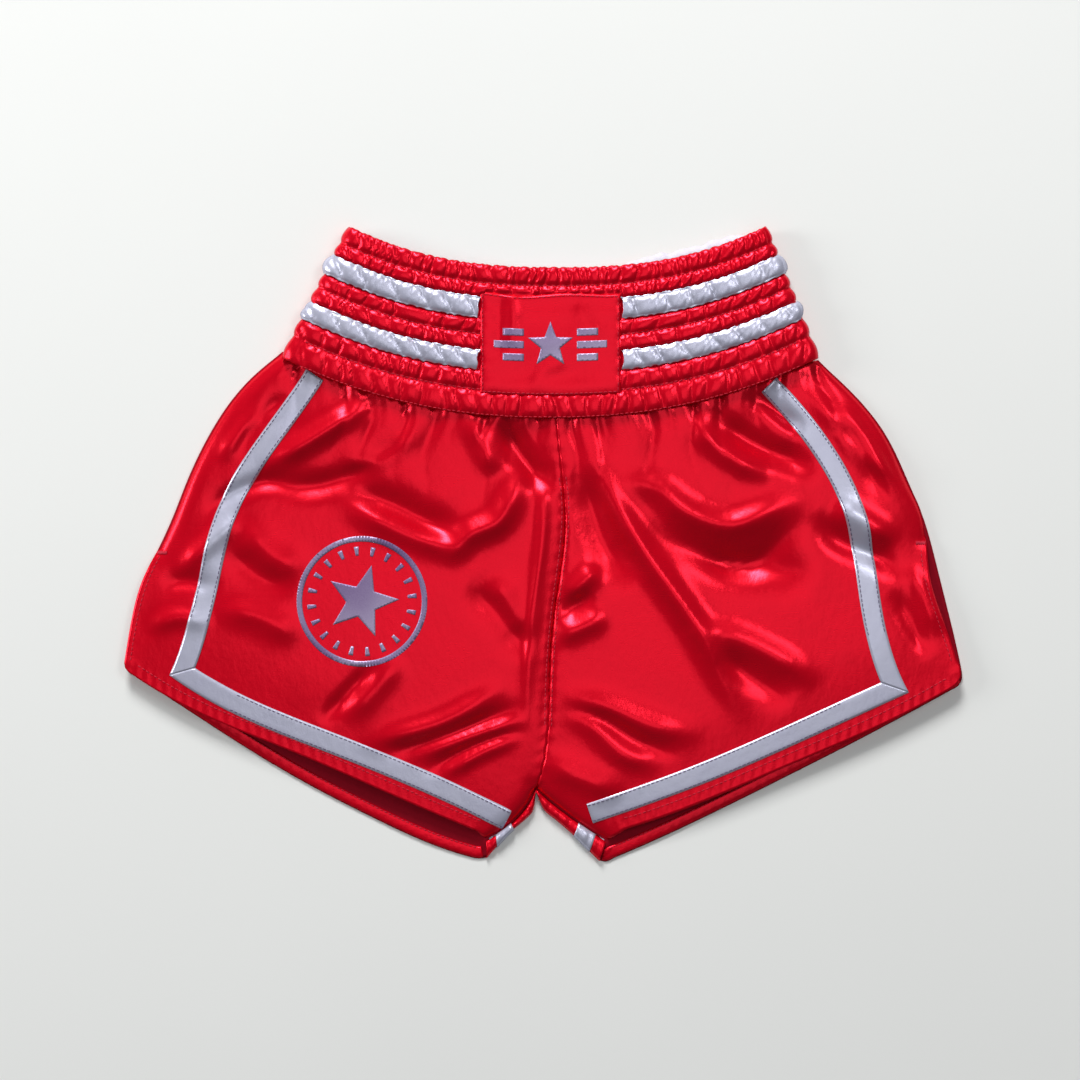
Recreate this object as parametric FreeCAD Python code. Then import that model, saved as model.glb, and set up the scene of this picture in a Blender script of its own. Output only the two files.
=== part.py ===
"""Muay Thai style boxing shorts, lying flat on their back.

Frame: +X to the wearer's left, +Y up towards the waist, +Z up off the surface they lie on.
The origin is under the middle of the garment's outline. Right and left are the wearer's.
All lengths are millimetres.
"""
import FreeCAD
import Part

import math
import os

from FreeCAD import Vector

# ---------------------------------------------------------------- driving dimensions
PLY = 0.5                 # one layer of shell satin
TAPE_PLY = 0.4            # satin tape and stripe cloth
FILM = 0.15               # heat transfer print
THREAD = 0.35             # height that a sewn thread stands proud
THREAD_WIDTH = 0.7

TAPE_WIDTH = 15.0
HEM_STITCH = 8.0          # from the hem's edge to its row of stitches
TAPE_STITCH = 1.6         # from a tape's edge to its row of stitches

BAND_HEIGHT = 108.0       # waistband at the centre front
BAND_LOW = 91.5           # y of the band's seam at the centre front
BAND_HALF = (193.5, 150.5)   # half width at the band's seam and at its top
BAND_MID = (4.5, 9.5)        # x of the middle there
BAND_RISE = (43.5, 30.0)     # how far the band's ends stand above its middle
BAND_POWER = (2.2, 2.5)      # how late along the band that rise comes
CHANNELS = (18.5, 14.5, 13.5, 12.0, 11.5, 14.5, 10.5, 13.0)   # from the seam up
STRIPED = (2, 5)          # the channels that carry a grey stripe
RIB = 3.2                 # how far a channel puffs out over its elastic
RIB_FULLNESS = 6          # a higher even number gives flatter channels with narrower valleys
SAMPLES = 8               # places across a channel at which its height is worked out
BAND_SAMPLES = 60         # and along the whole band
BACK_CLEAR = 0.5          # the back's ribs stand this far off, so that its stripes do not touch down
STRIPE_EDGE = 0.9         # from a channel's stitches to its stripe's edge
ELASTIC = 1.2             # thickness of one elastic
ELASTIC_INSET = 2.4       # from a channel's stitches to its elastic
ELASTIC_END = 12.0        # from the band's fold to the elastic's turn
END_POWER = 24            # how tightly the band turns over at its two ends
LINING_END = 0.91         # share of the half width that the flat lining reaches
STRIPE_END = 0.955        # and that the stripes reach

PATCH = (-46.0, 55.0, 109.0, 182.0)     # x from, x to, y from, y to
PATCH_GAP = 0.5
BACK_TOP = TAPE_PLY + PLY               # top of the back panels
CAVITY = 8.0                            # free height inside the flattened band
FRONT_LINING = RIB + BACK_CLEAR + 2 * PLY + CAVITY   # z of the front lining's underside
FRONT_VALLEY = FRONT_LINING + PLY       # z of the front channels' stitch lines

CROWN = 11.5              # how high the front stands off the back in mid leg
HEM_GAPE = 8.0            # how far a leg opening stands open
EDGE_SOFTNESS = 24.0      # how quickly the front comes down to a closed edge
HEM_SOFTNESS = 45.0
SEAM_LAP = 3.0            # the panels run this far under the band

BAR_TACK = (8.0, 1.8, 0.8)

# ---------------------------------------------------------------- outlines, seen from above
CENTRE_SEAM = ((9, 88), (13, 50), (15, 13), (9, -36), (4, -90), (3, -130), (-6, -176))

RIGHT_SIDE = ((-189, 138), (-220, 112), (-243, 78), (-259, 44), (-268, 21), (-280, -5),
              (-290, -26), (-297, -52), (-302, -82))
RIGHT_SLIT_TOP = 5        # the point of the side edge where the slit begins
RIGHT_HEM = ((-297, -92.5), (-245, -122), (-182, -148), (-95, -186), (-48, -206))
RIGHT_INSEAM = ((-42, -212), (-17, -194), (-6, -176))
RIGHT_BACK_HEM = ((-296, -94), (-239, -131), (-184, -165), (-123, -197), (-73, -219), (-50, -226))
RIGHT_INNER_FOLD = ((-36, -219), (-18, -201), (-6, -190))

LEFT_SIDE = ((198, 132), (220, 113), (248, 78), (264, 44), (274, 20), (276, 2),
             (278, -22), (288, -55), (297, -82))
LEFT_SLIT_TOP = 5
LEFT_HEM = ((294, -102), (241, -130), (172, -160), (101, -190), (60, -204))
LEFT_INSEAM = ((45, -213), (26, -201), (-6, -176))
LEFT_BACK_SIDE = ((198, 132), (220, 113), (248, 78), (264, 44), (274, 20), (280, 0),
                  (287, -28), (295, -60), (302, -92))
LEFT_BACK_HEM = ((295, -104), (230, -139), (161, -174), (91, -208), (50, -226))
LEFT_INNER_FOLD = ((38, -226), (23, -210), (6, -195), (-6, -190))

RIGHT_SIDE_TAPE = ((-165, 123), (-195, 80), (-226, 30), (-243, -32), (-260.5, -90.5))
RIGHT_HEM_TAPE = ((-260.5, -90.5), (-214, -117), (-158, -140), (-78, -173), (-27, -198))
LEFT_SIDE_TAPE = ((162, 116), (193, 80), (223, 25), (234, -35), (252.5, -102))
LEFT_HEM_TAPE = ((252.5, -102), (189, -131), (103, -168), (62, -183), (33, -193))
RIGHT_BACK_TAPE_END = (-28, -210)
LEFT_BACK_TAPE_END = (30, -213)

EMBLEM_MIDDLE = (-131.0, -40.0)
EMBLEM_RADIUS = 47.0


# ---------------------------------------------------------------- plane geometry
def vector(point, z=0.0):
    return Vector(point[0], point[1], z)


def spline(points):
    curve = Part.BSplineCurve()
    curve.interpolate([vector(p) for p in points])
    return curve


def along(points, count):
    """count + 1 points spread along the spline through points."""
    curve = spline(points)
    first, last = curve.FirstParameter, curve.LastParameter
    return [curve.value(first + (last - first) * i / count) for i in range(count + 1)]


def face_of(*sides):
    """A plane face. Each side is a run of points, splined if it has more than two."""
    edges = []
    for side in sides:
        points = [vector(p) for p in side]
        if len(points) == 2:
            edges.append(Part.LineSegment(*points).toShape())
        else:
            edges.append(spline(side).toShape())
    return Part.Face(Part.Wire(edges))


def corner(before, after, bulge=0.35):
    """Three points that round the corner between two sides."""
    a, b = Vector(*before[-1], 0), Vector(*after[0], 0)
    way_in = (a - Vector(*before[-2], 0)).normalize()
    way_out = (b - Vector(*after[1], 0)).normalize()
    middle = (a + b) * 0.5 + (way_in + way_out) * (bulge * (b - a).Length * 0.5)
    return (tuple(a)[:2], tuple(middle)[:2], tuple(b)[:2])


def reverse(points):
    return tuple(reversed(points))


def offset_points(points, distance, count=8):
    """Points beside a spline, at a distance to the left of its run."""
    curve = spline(points)
    first, last = curve.FirstParameter, curve.LastParameter
    found = []
    for i in range(count + 1):
        at = first + (last - first) * i / count
        ahead = curve.tangent(at)[0]
        place = curve.value(at)
        found.append((place.x - ahead.y * distance, place.y + ahead.x * distance))
    return found


def direction_at(points, end):
    """The way a spline runs at its end, or at its start."""
    curve = spline(points)
    return curve.tangent(curve.LastParameter if end else curve.FirstParameter)[0]


def mitre(side, hem):
    """Half of the mitre line where two tapes meet, per unit of their width."""
    down, across = direction_at(side, True), direction_at(hem, False)
    bisector = (across - down).normalize()
    half_angle = 0.5 * (Vector(0, 0, 0) - down).getAngle(across)
    return bisector * (0.5 / math.sin(half_angle))


def strip(points, width, start=None, end=None):
    """A strip of the given width along a spline. start and end are its mitres, per unit of width."""
    left, right = offset_points(points, width / 2), offset_points(points, -width / 2)
    for cut, index in ((start, 0), (end, -1)):
        if cut is not None:
            place = Vector(*points[index], 0)
            reach = cut * width
            to_left = Vector(*left[index], 0) - place
            if to_left.dot(reach) < 0:
                reach = reach * -1
            left[index] = tuple(place + reach)[:2]
            right[index] = tuple(place - reach)[:2]
    return face_of(left, (left[-1], right[-1]), reverse(right), (right[0], left[0]))


def star(middle, radius, turn=90.0, inner=0.42):
    points = []
    for i in range(10):
        reach = radius if i % 2 == 0 else radius * inner
        angle = math.radians(turn + 36 * i)
        points.append(Vector(middle[0] + reach * math.cos(angle),
                             middle[1] + reach * math.sin(angle), 0))
    return Part.Face(Part.makePolygon(points + points[:1]))


def ring(middle, inner, outer):
    place = vector(middle)
    discs = [Part.Face(Part.Wire(Part.makeCircle(r, place))) for r in (outer, inner)]
    return discs[0].cut(discs[1]).Faces[0]


def rectangle(x0, x1, y0, y1):
    return Part.Face(Part.makePolygon([Vector(x, y, 0) for x, y in
                                       ((x0, y0), (x1, y0), (x1, y1), (x0, y1), (x0, y0))]))


# ---------------------------------------------------------------- the waistband's lines
def mixed(pair, t):
    return pair[0] + (pair[1] - pair[0]) * t


def band_point(u, t):
    """The place on the band at u, -1 to 1 across, and t, 0 at its seam to 1 at its top."""
    rise = mixed(BAND_RISE, t) * abs(u) ** mixed(BAND_POWER, t)
    return mixed(BAND_MID, t) + mixed(BAND_HALF, t) * u, BAND_LOW + BAND_HEIGHT * t + rise


def channel_span(index):
    """t from and t to of a channel, counted from the seam up."""
    total = sum(CHANNELS)
    return sum(CHANNELS[:index]) / total, sum(CHANNELS[:index + 1]) / total


def rib_height(t):
    """How far the channels puff out at t."""
    for index in range(len(CHANNELS)):
        low, high = channel_span(index)
        if t <= high:
            return RIB * (1 - math.cos(math.pi * (t - low) / (high - low)) ** RIB_FULLNESS)
    return 0.0


def band_u(x, t):
    return (x - mixed(BAND_MID, t)) / mixed(BAND_HALF, t)


def band_line(t, u0=-1.0, u1=1.0, count=10):
    return [band_point(u0 + (u1 - u0) * i / count, t) for i in range(count + 1)]


# ---------------------------------------------------------------- heights
def nearest(lines, x, y):
    best = 1e9
    for line in lines:
        for a, b in zip(line, line[1:]):
            dx, dy = b.x - a.x, b.y - a.y
            share = ((x - a.x) * dx + (y - a.y) * dy) / (dx * dx + dy * dy)
            share = min(1.0, max(0.0, share))
            best = min(best, math.hypot(x - a.x - share * dx, y - a.y - share * dy))
    return best


def inside(loop, x, y):
    found = False
    for a, b in zip(loop, loop[1:] + loop[:1]):
        if (a.y > y) != (b.y > y) and x < a.x + (b.x - a.x) * (y - a.y) / (b.y - a.y):
            found = not found
    return found


class FrontSheet:
    """The height of the front panels' underside: open at the waist and hems, down at the closed edges."""

    def __init__(self):
        sides = [self.lengthened(along(side, 12)) for side in (RIGHT_SIDE, LEFT_SIDE)]
        inseams = [self.lengthened(along(inseam, 8)[::-1])[1:] for inseam in (RIGHT_INSEAM, LEFT_INSEAM)]
        self.closed = sides + inseams
        self.hems = [along(hem, 12) for hem in (RIGHT_HEM, LEFT_HEM)]
        self.loop = sides[0] + inseams[0][::-1] + inseams[1] + sides[1][::-1]

    @staticmethod
    def lengthened(line, more=90.0):
        """The line with a straight run added past each end."""
        before, after = line[0] - line[1], line[-1] - line[-2]
        return ([line[0] + before * (more / before.Length)] + line
                + [line[-1] + after * (more / after.Length)])

    def height(self, x, y):
        sign = 1 if inside(self.loop, x, y) else -1
        closed = math.tanh(sign * nearest(self.closed, x, y) / EDGE_SOFTNESS)
        hem = math.tanh(nearest(self.hems, x, y) / HEM_SOFTNESS)
        return BACK_TOP + (HEM_GAPE + (CROWN - HEM_GAPE) * hem) * closed

    def surface(self, step=10.0):
        xs = [-320 + step * i for i in range(65)]
        ys = [-240 + step * i for i in range(40)]
        made = Part.BSplineSurface()
        made.interpolate([[Vector(x, y, self.height(x, y)) for y in ys] for x in xs])
        return made.toShape()


def on_sheet(sheet, outline, low, high):
    """A piece with this outline that follows a curved sheet, low to high above it."""
    pillar = outline.copy()
    pillar.translate(Vector(0, 0, -20))
    patch = sheet.common(pillar.extrude(Vector(0, 0, 80)))
    solids = []
    for face in patch.Faces:
        face.translate(Vector(0, 0, low))
        solids.append(face.extrude(Vector(0, 0, high - low)))
    return solids


def flat(outline, low, high):
    base = outline.copy()
    base.translate(Vector(0, 0, low))
    return [base.extrude(Vector(0, 0, high - low))]


def band_height(u, t, front):
    """The z of the band's shell: the underside of the front, or the top of the back."""
    low_side = BACK_TOP + PLY
    settle = min(1.0, t / 0.12)
    middle = low_side + (FRONT_LINING + RIB) / 2 * settle * 0.9
    turn = 1 - abs(u) ** END_POWER
    if front:
        return middle + (FRONT_VALLEY + rib_height(t) - middle) * turn
    level = RIB + PLY + BACK_CLEAR - rib_height(t)
    foot = low_side + (level - low_side) * settle
    return middle + (foot - middle) * turn


def band_surface(front, t0=0.0, t1=1.0, u0=-1.0, u1=1.0):
    """The inner face of the band's shell, puffed out channel by channel."""
    count = math.ceil((u1 - u0) * BAND_SAMPLES / 2)
    us = [u0 + (u1 - u0) * i / count for i in range(count + 1)]
    ts = []
    for index in range(len(CHANNELS)):
        a, b = channel_span(index)
        ts += [a + (b - a) * i / SAMPLES for i in range(SAMPLES)]
    ts = [t0] + [t for t in ts if t0 + 0.002 < t < t1 - 0.002] + [t1]
    made = Part.BSplineSurface()
    made.interpolate([[Vector(*band_point(u, t), band_height(u, t, front)) for t in ts] for u in us])
    return made.toShape()


def band_layer(surface, low, high):
    """A layer of cloth between two heights above the shell's inner face."""
    surface.translate(Vector(0, 0, low))
    return [surface.extrude(Vector(0, 0, high - low))]


# ---------------------------------------------------------------- sub-parts
def front_outline(right):
    """One front panel's outline: waist, side, hem, inseam and centre seam."""
    side, hem, inseam = ((RIGHT_SIDE, RIGHT_HEM, RIGHT_INSEAM) if right
                         else (LEFT_SIDE, LEFT_HEM, LEFT_INSEAM))
    waist = waist_line(right, side[0])
    return face_of(waist, side, corner(side, hem), hem, (hem[-1], inseam[0]), inseam,
                   reverse(CENTRE_SEAM), (CENTRE_SEAM[0], waist[0]))


def back_outline(right):
    side = RIGHT_SIDE if right else LEFT_BACK_SIDE
    hem = RIGHT_BACK_HEM if right else LEFT_BACK_HEM
    fold = RIGHT_INNER_FOLD if right else LEFT_INNER_FOLD
    waist = waist_line(right, side[0])
    return face_of(waist, side, corner(side, hem), hem, corner(hem, fold), fold,
                   (fold[-1], CENTRE_SEAM[-1]), reverse(CENTRE_SEAM), (CENTRE_SEAM[0], waist[0]))


def waist_line(right, corner_point):
    """The panels' top edge, from the centre seam out to the side, tucked under the band."""
    middle = (CENTRE_SEAM[0][0], BAND_LOW + SEAM_LAP)
    end = -0.97 if right else 0.97
    start = band_u(CENTRE_SEAM[0][0], 0)
    points = [band_point(start + (end - start) * i / 5, 0) for i in range(6)]
    lapped = [middle] + [(x, y + SEAM_LAP) for x, y in points[1:-1]]
    return lapped + [corner_point]


def inner_wrap(right):
    """The strip of back panel that turns up round the inner leg to the inseam."""
    fold = RIGHT_INNER_FOLD if right else LEFT_INNER_FOLD
    inseam = RIGHT_INSEAM if right else LEFT_INSEAM
    return face_of(fold, (fold[-1], inseam[-1]), reverse(inseam), (inseam[0], fold[0]))


def back_panel(right):
    sheet = flat(back_outline(right), TAPE_PLY, BACK_TOP)[0]
    wrap = flat(inner_wrap(right), BACK_TOP - PLY / 2, BACK_TOP + PLY)[0]
    return [sheet.fuse(wrap).removeSplitter()]


def tape_paths(right, front):
    """The middle lines of the side tape and the hem tape, and their mitre."""
    side, hem = (RIGHT_SIDE_TAPE, RIGHT_HEM_TAPE) if right else (LEFT_SIDE_TAPE, LEFT_HEM_TAPE)
    if not front:
        end = RIGHT_BACK_TAPE_END if right else LEFT_BACK_TAPE_END
        drop = (end[1] - hem[-1][1]) / (len(hem) - 1)
        hem = tuple((x, y + drop * i) for i, (x, y) in enumerate(hem[:-1])) + (end,)
    return side, hem, mitre(side, hem)


def tapes(right, front):
    side, hem, cut = tape_paths(right, front)
    return strip(side, TAPE_WIDTH, end=cut), strip(hem, TAPE_WIDTH, start=cut)


def tape_threads(right, front):
    """The two rows of stitches that hold each tape."""
    side, hem, _ = tape_paths(right, front)
    reach = TAPE_WIDTH / 2 - TAPE_STITCH
    lines = []
    for path in (side, hem):
        for distance in (-reach, reach):
            points = offset_points(path, distance, 6)
            lines.append(strip(points[:-1] if path is side else points[1:], THREAD_WIDTH))
    return lines


def hem_thread(right, front):
    if front:
        hem = RIGHT_HEM if right else LEFT_HEM
    else:
        hem = RIGHT_BACK_HEM if right else LEFT_BACK_HEM
    return strip(offset_points(hem, HEM_STITCH if right else -HEM_STITCH, 6), THREAD_WIDTH)


def slit_thread(right):
    """The row of stitches along the slit's turned edge."""
    side = RIGHT_SIDE if right else LEFT_SIDE
    edge = side[RIGHT_SLIT_TOP if right else LEFT_SLIT_TOP:]
    return strip(offset_points(edge, HEM_STITCH / 2 if right else -HEM_STITCH / 2, 4), THREAD_WIDTH)


def centre_threads():
    """The two rows of stitches beside the centre seam."""
    seam = CENTRE_SEAM[1:-1]
    return [strip(offset_points(seam, distance, 6), THREAD_WIDTH) for distance in (-2.5, 2.5)]


def elastic(index):
    """One elastic: a flattened loop round the waist, inside its channel."""
    t0, t1 = channel_span(index)
    inset = ELASTIC_INSET / BAND_HEIGHT
    low, high = t0 + inset, t1 - inset
    middle = (low + high) / 2
    outline = face_of(band_line(low), (band_point(1, low), band_point(1, high)),
                      reverse(band_line(high)), (band_point(-1, high), band_point(-1, low)))
    floor = RIB + BACK_CLEAR - ELASTIC + 0.2
    ceiling = FRONT_VALLEY + PLY + 0.2 + ELASTIC
    half = mixed(BAND_HALF, middle) - ELASTIC_END
    loops = [slot(half - wall, floor + wall, ceiling - wall, mixed(BAND_MID, middle))
             for wall in (0.0, ELASTIC)]
    tube = [Part.Face(loop).extrude(Vector(0, 200, 0)) for loop in loops]
    pillar = outline.extrude(Vector(0, 0, 40))
    return tube[0].cut(tube[1]).common(pillar).Solids


def slot(half, low, high, middle_x):
    """A stadium in a plane across the band."""
    y = BAND_LOW - 20
    radius = (high - low) / 2
    left, right = middle_x - half + radius, middle_x + half - radius
    mid = (low + high) / 2
    corners = [Vector(left, y, low), Vector(right, y, low), Vector(right, y, high), Vector(left, y, high)]
    edges = [Part.LineSegment(corners[0], corners[1]),
             Part.Arc(corners[1], Vector(right + radius, y, mid), corners[2]),
             Part.LineSegment(corners[2], corners[3]),
             Part.Arc(corners[3], Vector(left - radius, y, mid), corners[0])]
    return Part.Wire([edge.toShape() for edge in edges])


def lining(low):
    """The band's inner layer on one side, a plain sheet behind the channels."""
    end = LINING_END
    outline = face_of(band_line(0.03, -end, end), (band_point(end, 0.03), band_point(end, 0.99)),
                      reverse(band_line(0.99, -end, end)), (band_point(-end, 0.99), band_point(-end, 0.03)))
    return flat(outline, low, low + PLY)


def stripe(front, index, u0, u1):
    """A stripe of pale satin over one channel."""
    t0, t1 = channel_span(index)
    edge = STRIPE_EDGE / BAND_HEIGHT
    surface = band_surface(front, t0 + edge, t1 - edge, u0, u1)
    return band_layer(surface, PLY, PLY + TAPE_PLY) if front else band_layer(surface, -PLY - TAPE_PLY, -PLY)


def front_stripe(index, right):
    """A front stripe runs from near the fold to the patch, which it meets edge to edge."""
    t = sum(channel_span(index)) / 2
    if right:
        return stripe(True, index, -STRIPE_END, band_u(PATCH[0] - PATCH_GAP, t))
    return stripe(True, index, band_u(PATCH[1] + PATCH_GAP, t), STRIPE_END)


def channel_threads(front):
    """A row of stitches along each line between two channels."""
    solids = []
    for index in range(1, len(CHANNELS)):
        t = channel_span(index)[0]
        line = strip(band_line(t, -0.95, 0.95, 6), THREAD_WIDTH)
        level = FRONT_VALLEY + PLY if front else RIB + BACK_CLEAR - THREAD
        solids += flat(line, level, level + THREAD)
    return solids


def waist_threads():
    line = strip(band_line(0.008, -0.93, 0.93, 8), THREAD_WIDTH)
    return flat(line, FRONT_VALLEY + PLY, FRONT_VALLEY + PLY + THREAD)


def patch_level():
    return FRONT_VALLEY + PLY + RIB


def patch_threads():
    inset = 2.0
    x0, x1, y0, y1 = (PATCH[0] + inset, PATCH[1] - inset, PATCH[2] + inset, PATCH[3] - inset)
    outer = rectangle(x0, x1, y0, y1)
    inner = rectangle(x0 + THREAD_WIDTH, x1 - THREAD_WIDTH, y0 + THREAD_WIDTH, y1 - THREAD_WIDTH)
    return flat(outer.cut(inner).Faces[0], patch_level() + PLY, patch_level() + PLY + THREAD)


def patch_print():
    """A star between two sets of tapering bars."""
    middle = ((PATCH[0] + PATCH[1]) / 2, (PATCH[2] + PATCH[3]) / 2)
    shapes = [star(middle, 17.0)]
    for side in (-1, 1):
        for row, length in ((-1, 19.0), (0, 27.0), (1, 19.0)):
            start = middle[0] + side * (19.0 if row else 15.0 + 4.0)
            ends = sorted((start, start + side * length * 0.8))
            y = middle[1] + row * 9.0
            shapes.append(rectangle(ends[0], ends[1], y - 2.6, y + 2.6))
    solids = []
    for shape in shapes:
        solids += flat(shape, patch_level() + PLY, patch_level() + PLY + FILM)
    return solids


def leg_print(sheet):
    """A round badge: a star in a ring, with short rays between them."""
    shapes = [ring(EMBLEM_MIDDLE, EMBLEM_RADIUS - 4.0, EMBLEM_RADIUS), star(EMBLEM_MIDDLE, 27.0, 75.0)]
    for i in range(20):
        angle = math.radians(18 * i + 6)
        across = Vector(math.cos(angle), math.sin(angle), 0)
        beside = Vector(-across.y, across.x, 0) * 1.1
        middle = vector(EMBLEM_MIDDLE)
        near, far = middle + across * 33.0, middle + across * 39.5
        shapes.append(Part.Face(Part.makePolygon([near - beside, far - beside * 1.6, far + beside * 1.6,
                                                  near + beside, near - beside])))
    solids = []
    for shape in shapes:
        solids += on_sheet(sheet, shape, PLY, PLY + FILM)
    return solids


def bar_tack(right):
    """The dense block of stitches that stops a slit from tearing."""
    side, top = (RIGHT_SIDE, RIGHT_SLIT_TOP) if right else (LEFT_SIDE, LEFT_SLIT_TOP)
    x, y = side[top]
    reach = BAR_TACK[0] if right else -BAR_TACK[0]
    x0, x1 = sorted((x + math.copysign(1, reach), x + reach))
    return flat(rectangle(x0, x1, y - BAR_TACK[1] / 2, y + BAR_TACK[1] / 2), BACK_TOP + 4.4,
                BACK_TOP + 4.4 + BAR_TACK[2])


def assembly():
    """Every node's name and its solids."""
    sheet = FrontSheet().surface()
    nodes = {}
    for right in (True, False):
        hand = "right" if right else "left"
        nodes[f"front_panel_{hand}"] = on_sheet(sheet, front_outline(right), 0, PLY)
        nodes[f"back_panel_{hand}"] = back_panel(right)
        for name, outline in zip(("side", "hem"), tapes(right, True)):
            nodes[f"{name}_tape_front_{hand}"] = on_sheet(sheet, outline, PLY, PLY + TAPE_PLY)
        for name, outline in zip(("side", "hem"), tapes(right, False)):
            nodes[f"{name}_tape_back_{hand}"] = flat(outline, 0, TAPE_PLY)
        front_lines = tape_threads(right, True)
        nodes[f"tape_stitching_front_{hand}"] = [
            solid for line in front_lines
            for solid in on_sheet(sheet, line, PLY + TAPE_PLY, PLY + TAPE_PLY + THREAD)]
        hem_lines = [hem_thread(right, True), slit_thread(right)]
        nodes[f"hem_stitching_front_{hand}"] = [
            solid for line in hem_lines for solid in on_sheet(sheet, line, PLY, PLY + THREAD)]
        nodes[f"hem_stitching_back_{hand}"] = flat(hem_thread(right, False), BACK_TOP, BACK_TOP + THREAD)
        nodes[f"bar_tack_{hand}"] = bar_tack(right)
    nodes["centre_stitching_front"] = [
        solid for line in centre_threads() for solid in on_sheet(sheet, line, PLY, PLY + THREAD)]
    nodes["centre_stitching_back"] = [
        solid for line in centre_threads() for solid in flat(line, TAPE_PLY - THREAD, TAPE_PLY)]
    nodes["leg_print"] = leg_print(sheet)

    nodes["waistband_front"] = band_layer(band_surface(True), 0, PLY)
    nodes["waistband_back"] = band_layer(band_surface(False), -PLY, 0)
    nodes["waistband_lining_front"] = lining(FRONT_LINING)
    nodes["waistband_lining_back"] = lining(RIB + PLY + BACK_CLEAR)
    for index in range(len(CHANNELS)):
        nodes[f"waist_elastic_{index + 1}"] = elastic(index)
    for name, index in zip(("lower", "upper"), STRIPED):
        nodes[f"waist_stripe_{name}_right"] = front_stripe(index, True)
        nodes[f"waist_stripe_{name}_left"] = front_stripe(index, False)
        nodes[f"waist_stripe_{name}_back"] = stripe(False, index, -STRIPE_END, STRIPE_END)
    nodes["waist_patch"] = flat(rectangle(*PATCH), patch_level(), patch_level() + PLY)
    nodes["patch_stitching"] = patch_threads()
    nodes["patch_print"] = patch_print()
    nodes["channel_stitching_front"] = channel_threads(True)
    nodes["channel_stitching_back"] = channel_threads(False)
    nodes["waist_seam_stitching"] = waist_threads()
    return nodes


def main():
    nodes = {name: Part.makeCompound(solids) for name, solids in assembly().items()}
    whole = Part.makeCompound(list(nodes.values())).optimalBoundingBox(False, False)
    shift = Vector(-whole.Center.x, -whole.Center.y, -whole.ZMin)
    os.makedirs("parts", exist_ok=True)
    for name, shape in nodes.items():
        shape.translate(shift)
        bad = [solid for solid in shape.Solids if not solid.isValid() or solid.Volume <= 0]
        if bad or not shape.Solids:
            print("check", name, len(shape.Solids), "solids,", len(bad), "of them bad")
        shape.exportStep(os.path.join("parts", name + ".step"))
    print("moved by", [round(x, 2) for x in shift], "size", round(whole.XLength, 1),
          round(whole.YLength, 1), round(whole.ZLength, 1), "nodes", len(nodes))


main()
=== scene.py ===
"""Satin boxing shorts lying on their back: gathered cloth, tapes, prints and stitches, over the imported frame."""

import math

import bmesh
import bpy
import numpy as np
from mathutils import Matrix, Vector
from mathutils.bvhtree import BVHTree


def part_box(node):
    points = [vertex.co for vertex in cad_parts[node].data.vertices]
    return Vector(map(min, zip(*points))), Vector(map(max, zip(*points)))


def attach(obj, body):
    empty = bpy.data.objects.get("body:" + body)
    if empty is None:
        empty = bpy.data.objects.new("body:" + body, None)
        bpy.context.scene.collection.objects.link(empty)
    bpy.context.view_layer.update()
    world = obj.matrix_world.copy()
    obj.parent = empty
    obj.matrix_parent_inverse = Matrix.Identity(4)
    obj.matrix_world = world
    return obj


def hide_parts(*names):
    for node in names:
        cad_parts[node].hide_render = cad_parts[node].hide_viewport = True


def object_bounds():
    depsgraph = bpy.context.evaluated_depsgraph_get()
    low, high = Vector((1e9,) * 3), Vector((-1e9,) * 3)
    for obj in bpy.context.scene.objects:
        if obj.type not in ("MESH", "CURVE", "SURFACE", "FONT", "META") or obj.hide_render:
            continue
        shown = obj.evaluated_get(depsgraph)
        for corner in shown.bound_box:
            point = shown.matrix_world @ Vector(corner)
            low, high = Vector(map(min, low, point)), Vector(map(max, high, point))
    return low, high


bl_info = {
    "name": "Satin boxing shorts",
    "version": (1, 0, 0),
    "blender": (4, 5, 0),
    "location": "3D View > Sidebar > Shorts",
    "description": "Wide-leg boxing shorts with a shirred waistband, tapes, prints and stitches",
    "category": "Add Mesh",
}

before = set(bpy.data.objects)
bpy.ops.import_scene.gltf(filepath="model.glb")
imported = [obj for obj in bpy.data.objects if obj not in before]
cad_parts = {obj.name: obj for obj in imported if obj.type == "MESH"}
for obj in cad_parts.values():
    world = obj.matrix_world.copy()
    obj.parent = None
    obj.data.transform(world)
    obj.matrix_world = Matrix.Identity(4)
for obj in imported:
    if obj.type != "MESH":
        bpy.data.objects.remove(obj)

CAD_BOX = [list(corner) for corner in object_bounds()]
MM = 0.001
SIDES = ("right", "left")
BAND_ROWS = 5                    # rows of cloth cells in each channel of the band
ELASTICS = sorted(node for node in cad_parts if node.startswith("waist_elastic"))
cloths = {}                      # the sheets laid so far, by name, for what is sewn on them


# ------------------------------------------------------------------ sizes and colours
class ShortsCloth(bpy.types.PropertyGroup):
    """How the cloth is made and how it lies."""
    ply: bpy.props.FloatProperty(
        name="Cloth", description="Thickness of one layer of satin", default=0.4 * MM, unit="LENGTH")
    cell: bpy.props.FloatProperty(
        name="Cell", description="Spacing of the cloth's points while it settles", default=4.2 * MM,
        unit="LENGTH")
    loft: bpy.props.FloatProperty(
        name="Loft", description="How high the front lies over the back",
        default=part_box("front_panel_right")[1].z - 3.0 * MM, unit="LENGTH")
    fold: bpy.props.FloatProperty(
        name="Folds", description="Strength of the folds, as a share of their usual height", default=1.3)
    ease: bpy.props.FloatProperty(
        name="Ease", description="Share by which the cut is larger than the outline that it lies in",
        default=0.03)
    waist_gather: bpy.props.FloatProperty(
        name="Waist gather", description="Share by which the panels are wider than the band at their seam",
        default=0.32)
    band_gather: bpy.props.FloatProperty(
        name="Band gather", description="Length of the band's cloth over the relaxed band's", default=1.3)
    hem_width: bpy.props.FloatProperty(
        name="Hem", description="Width of the turned hem", default=9.0 * MM, unit="LENGTH")


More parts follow.
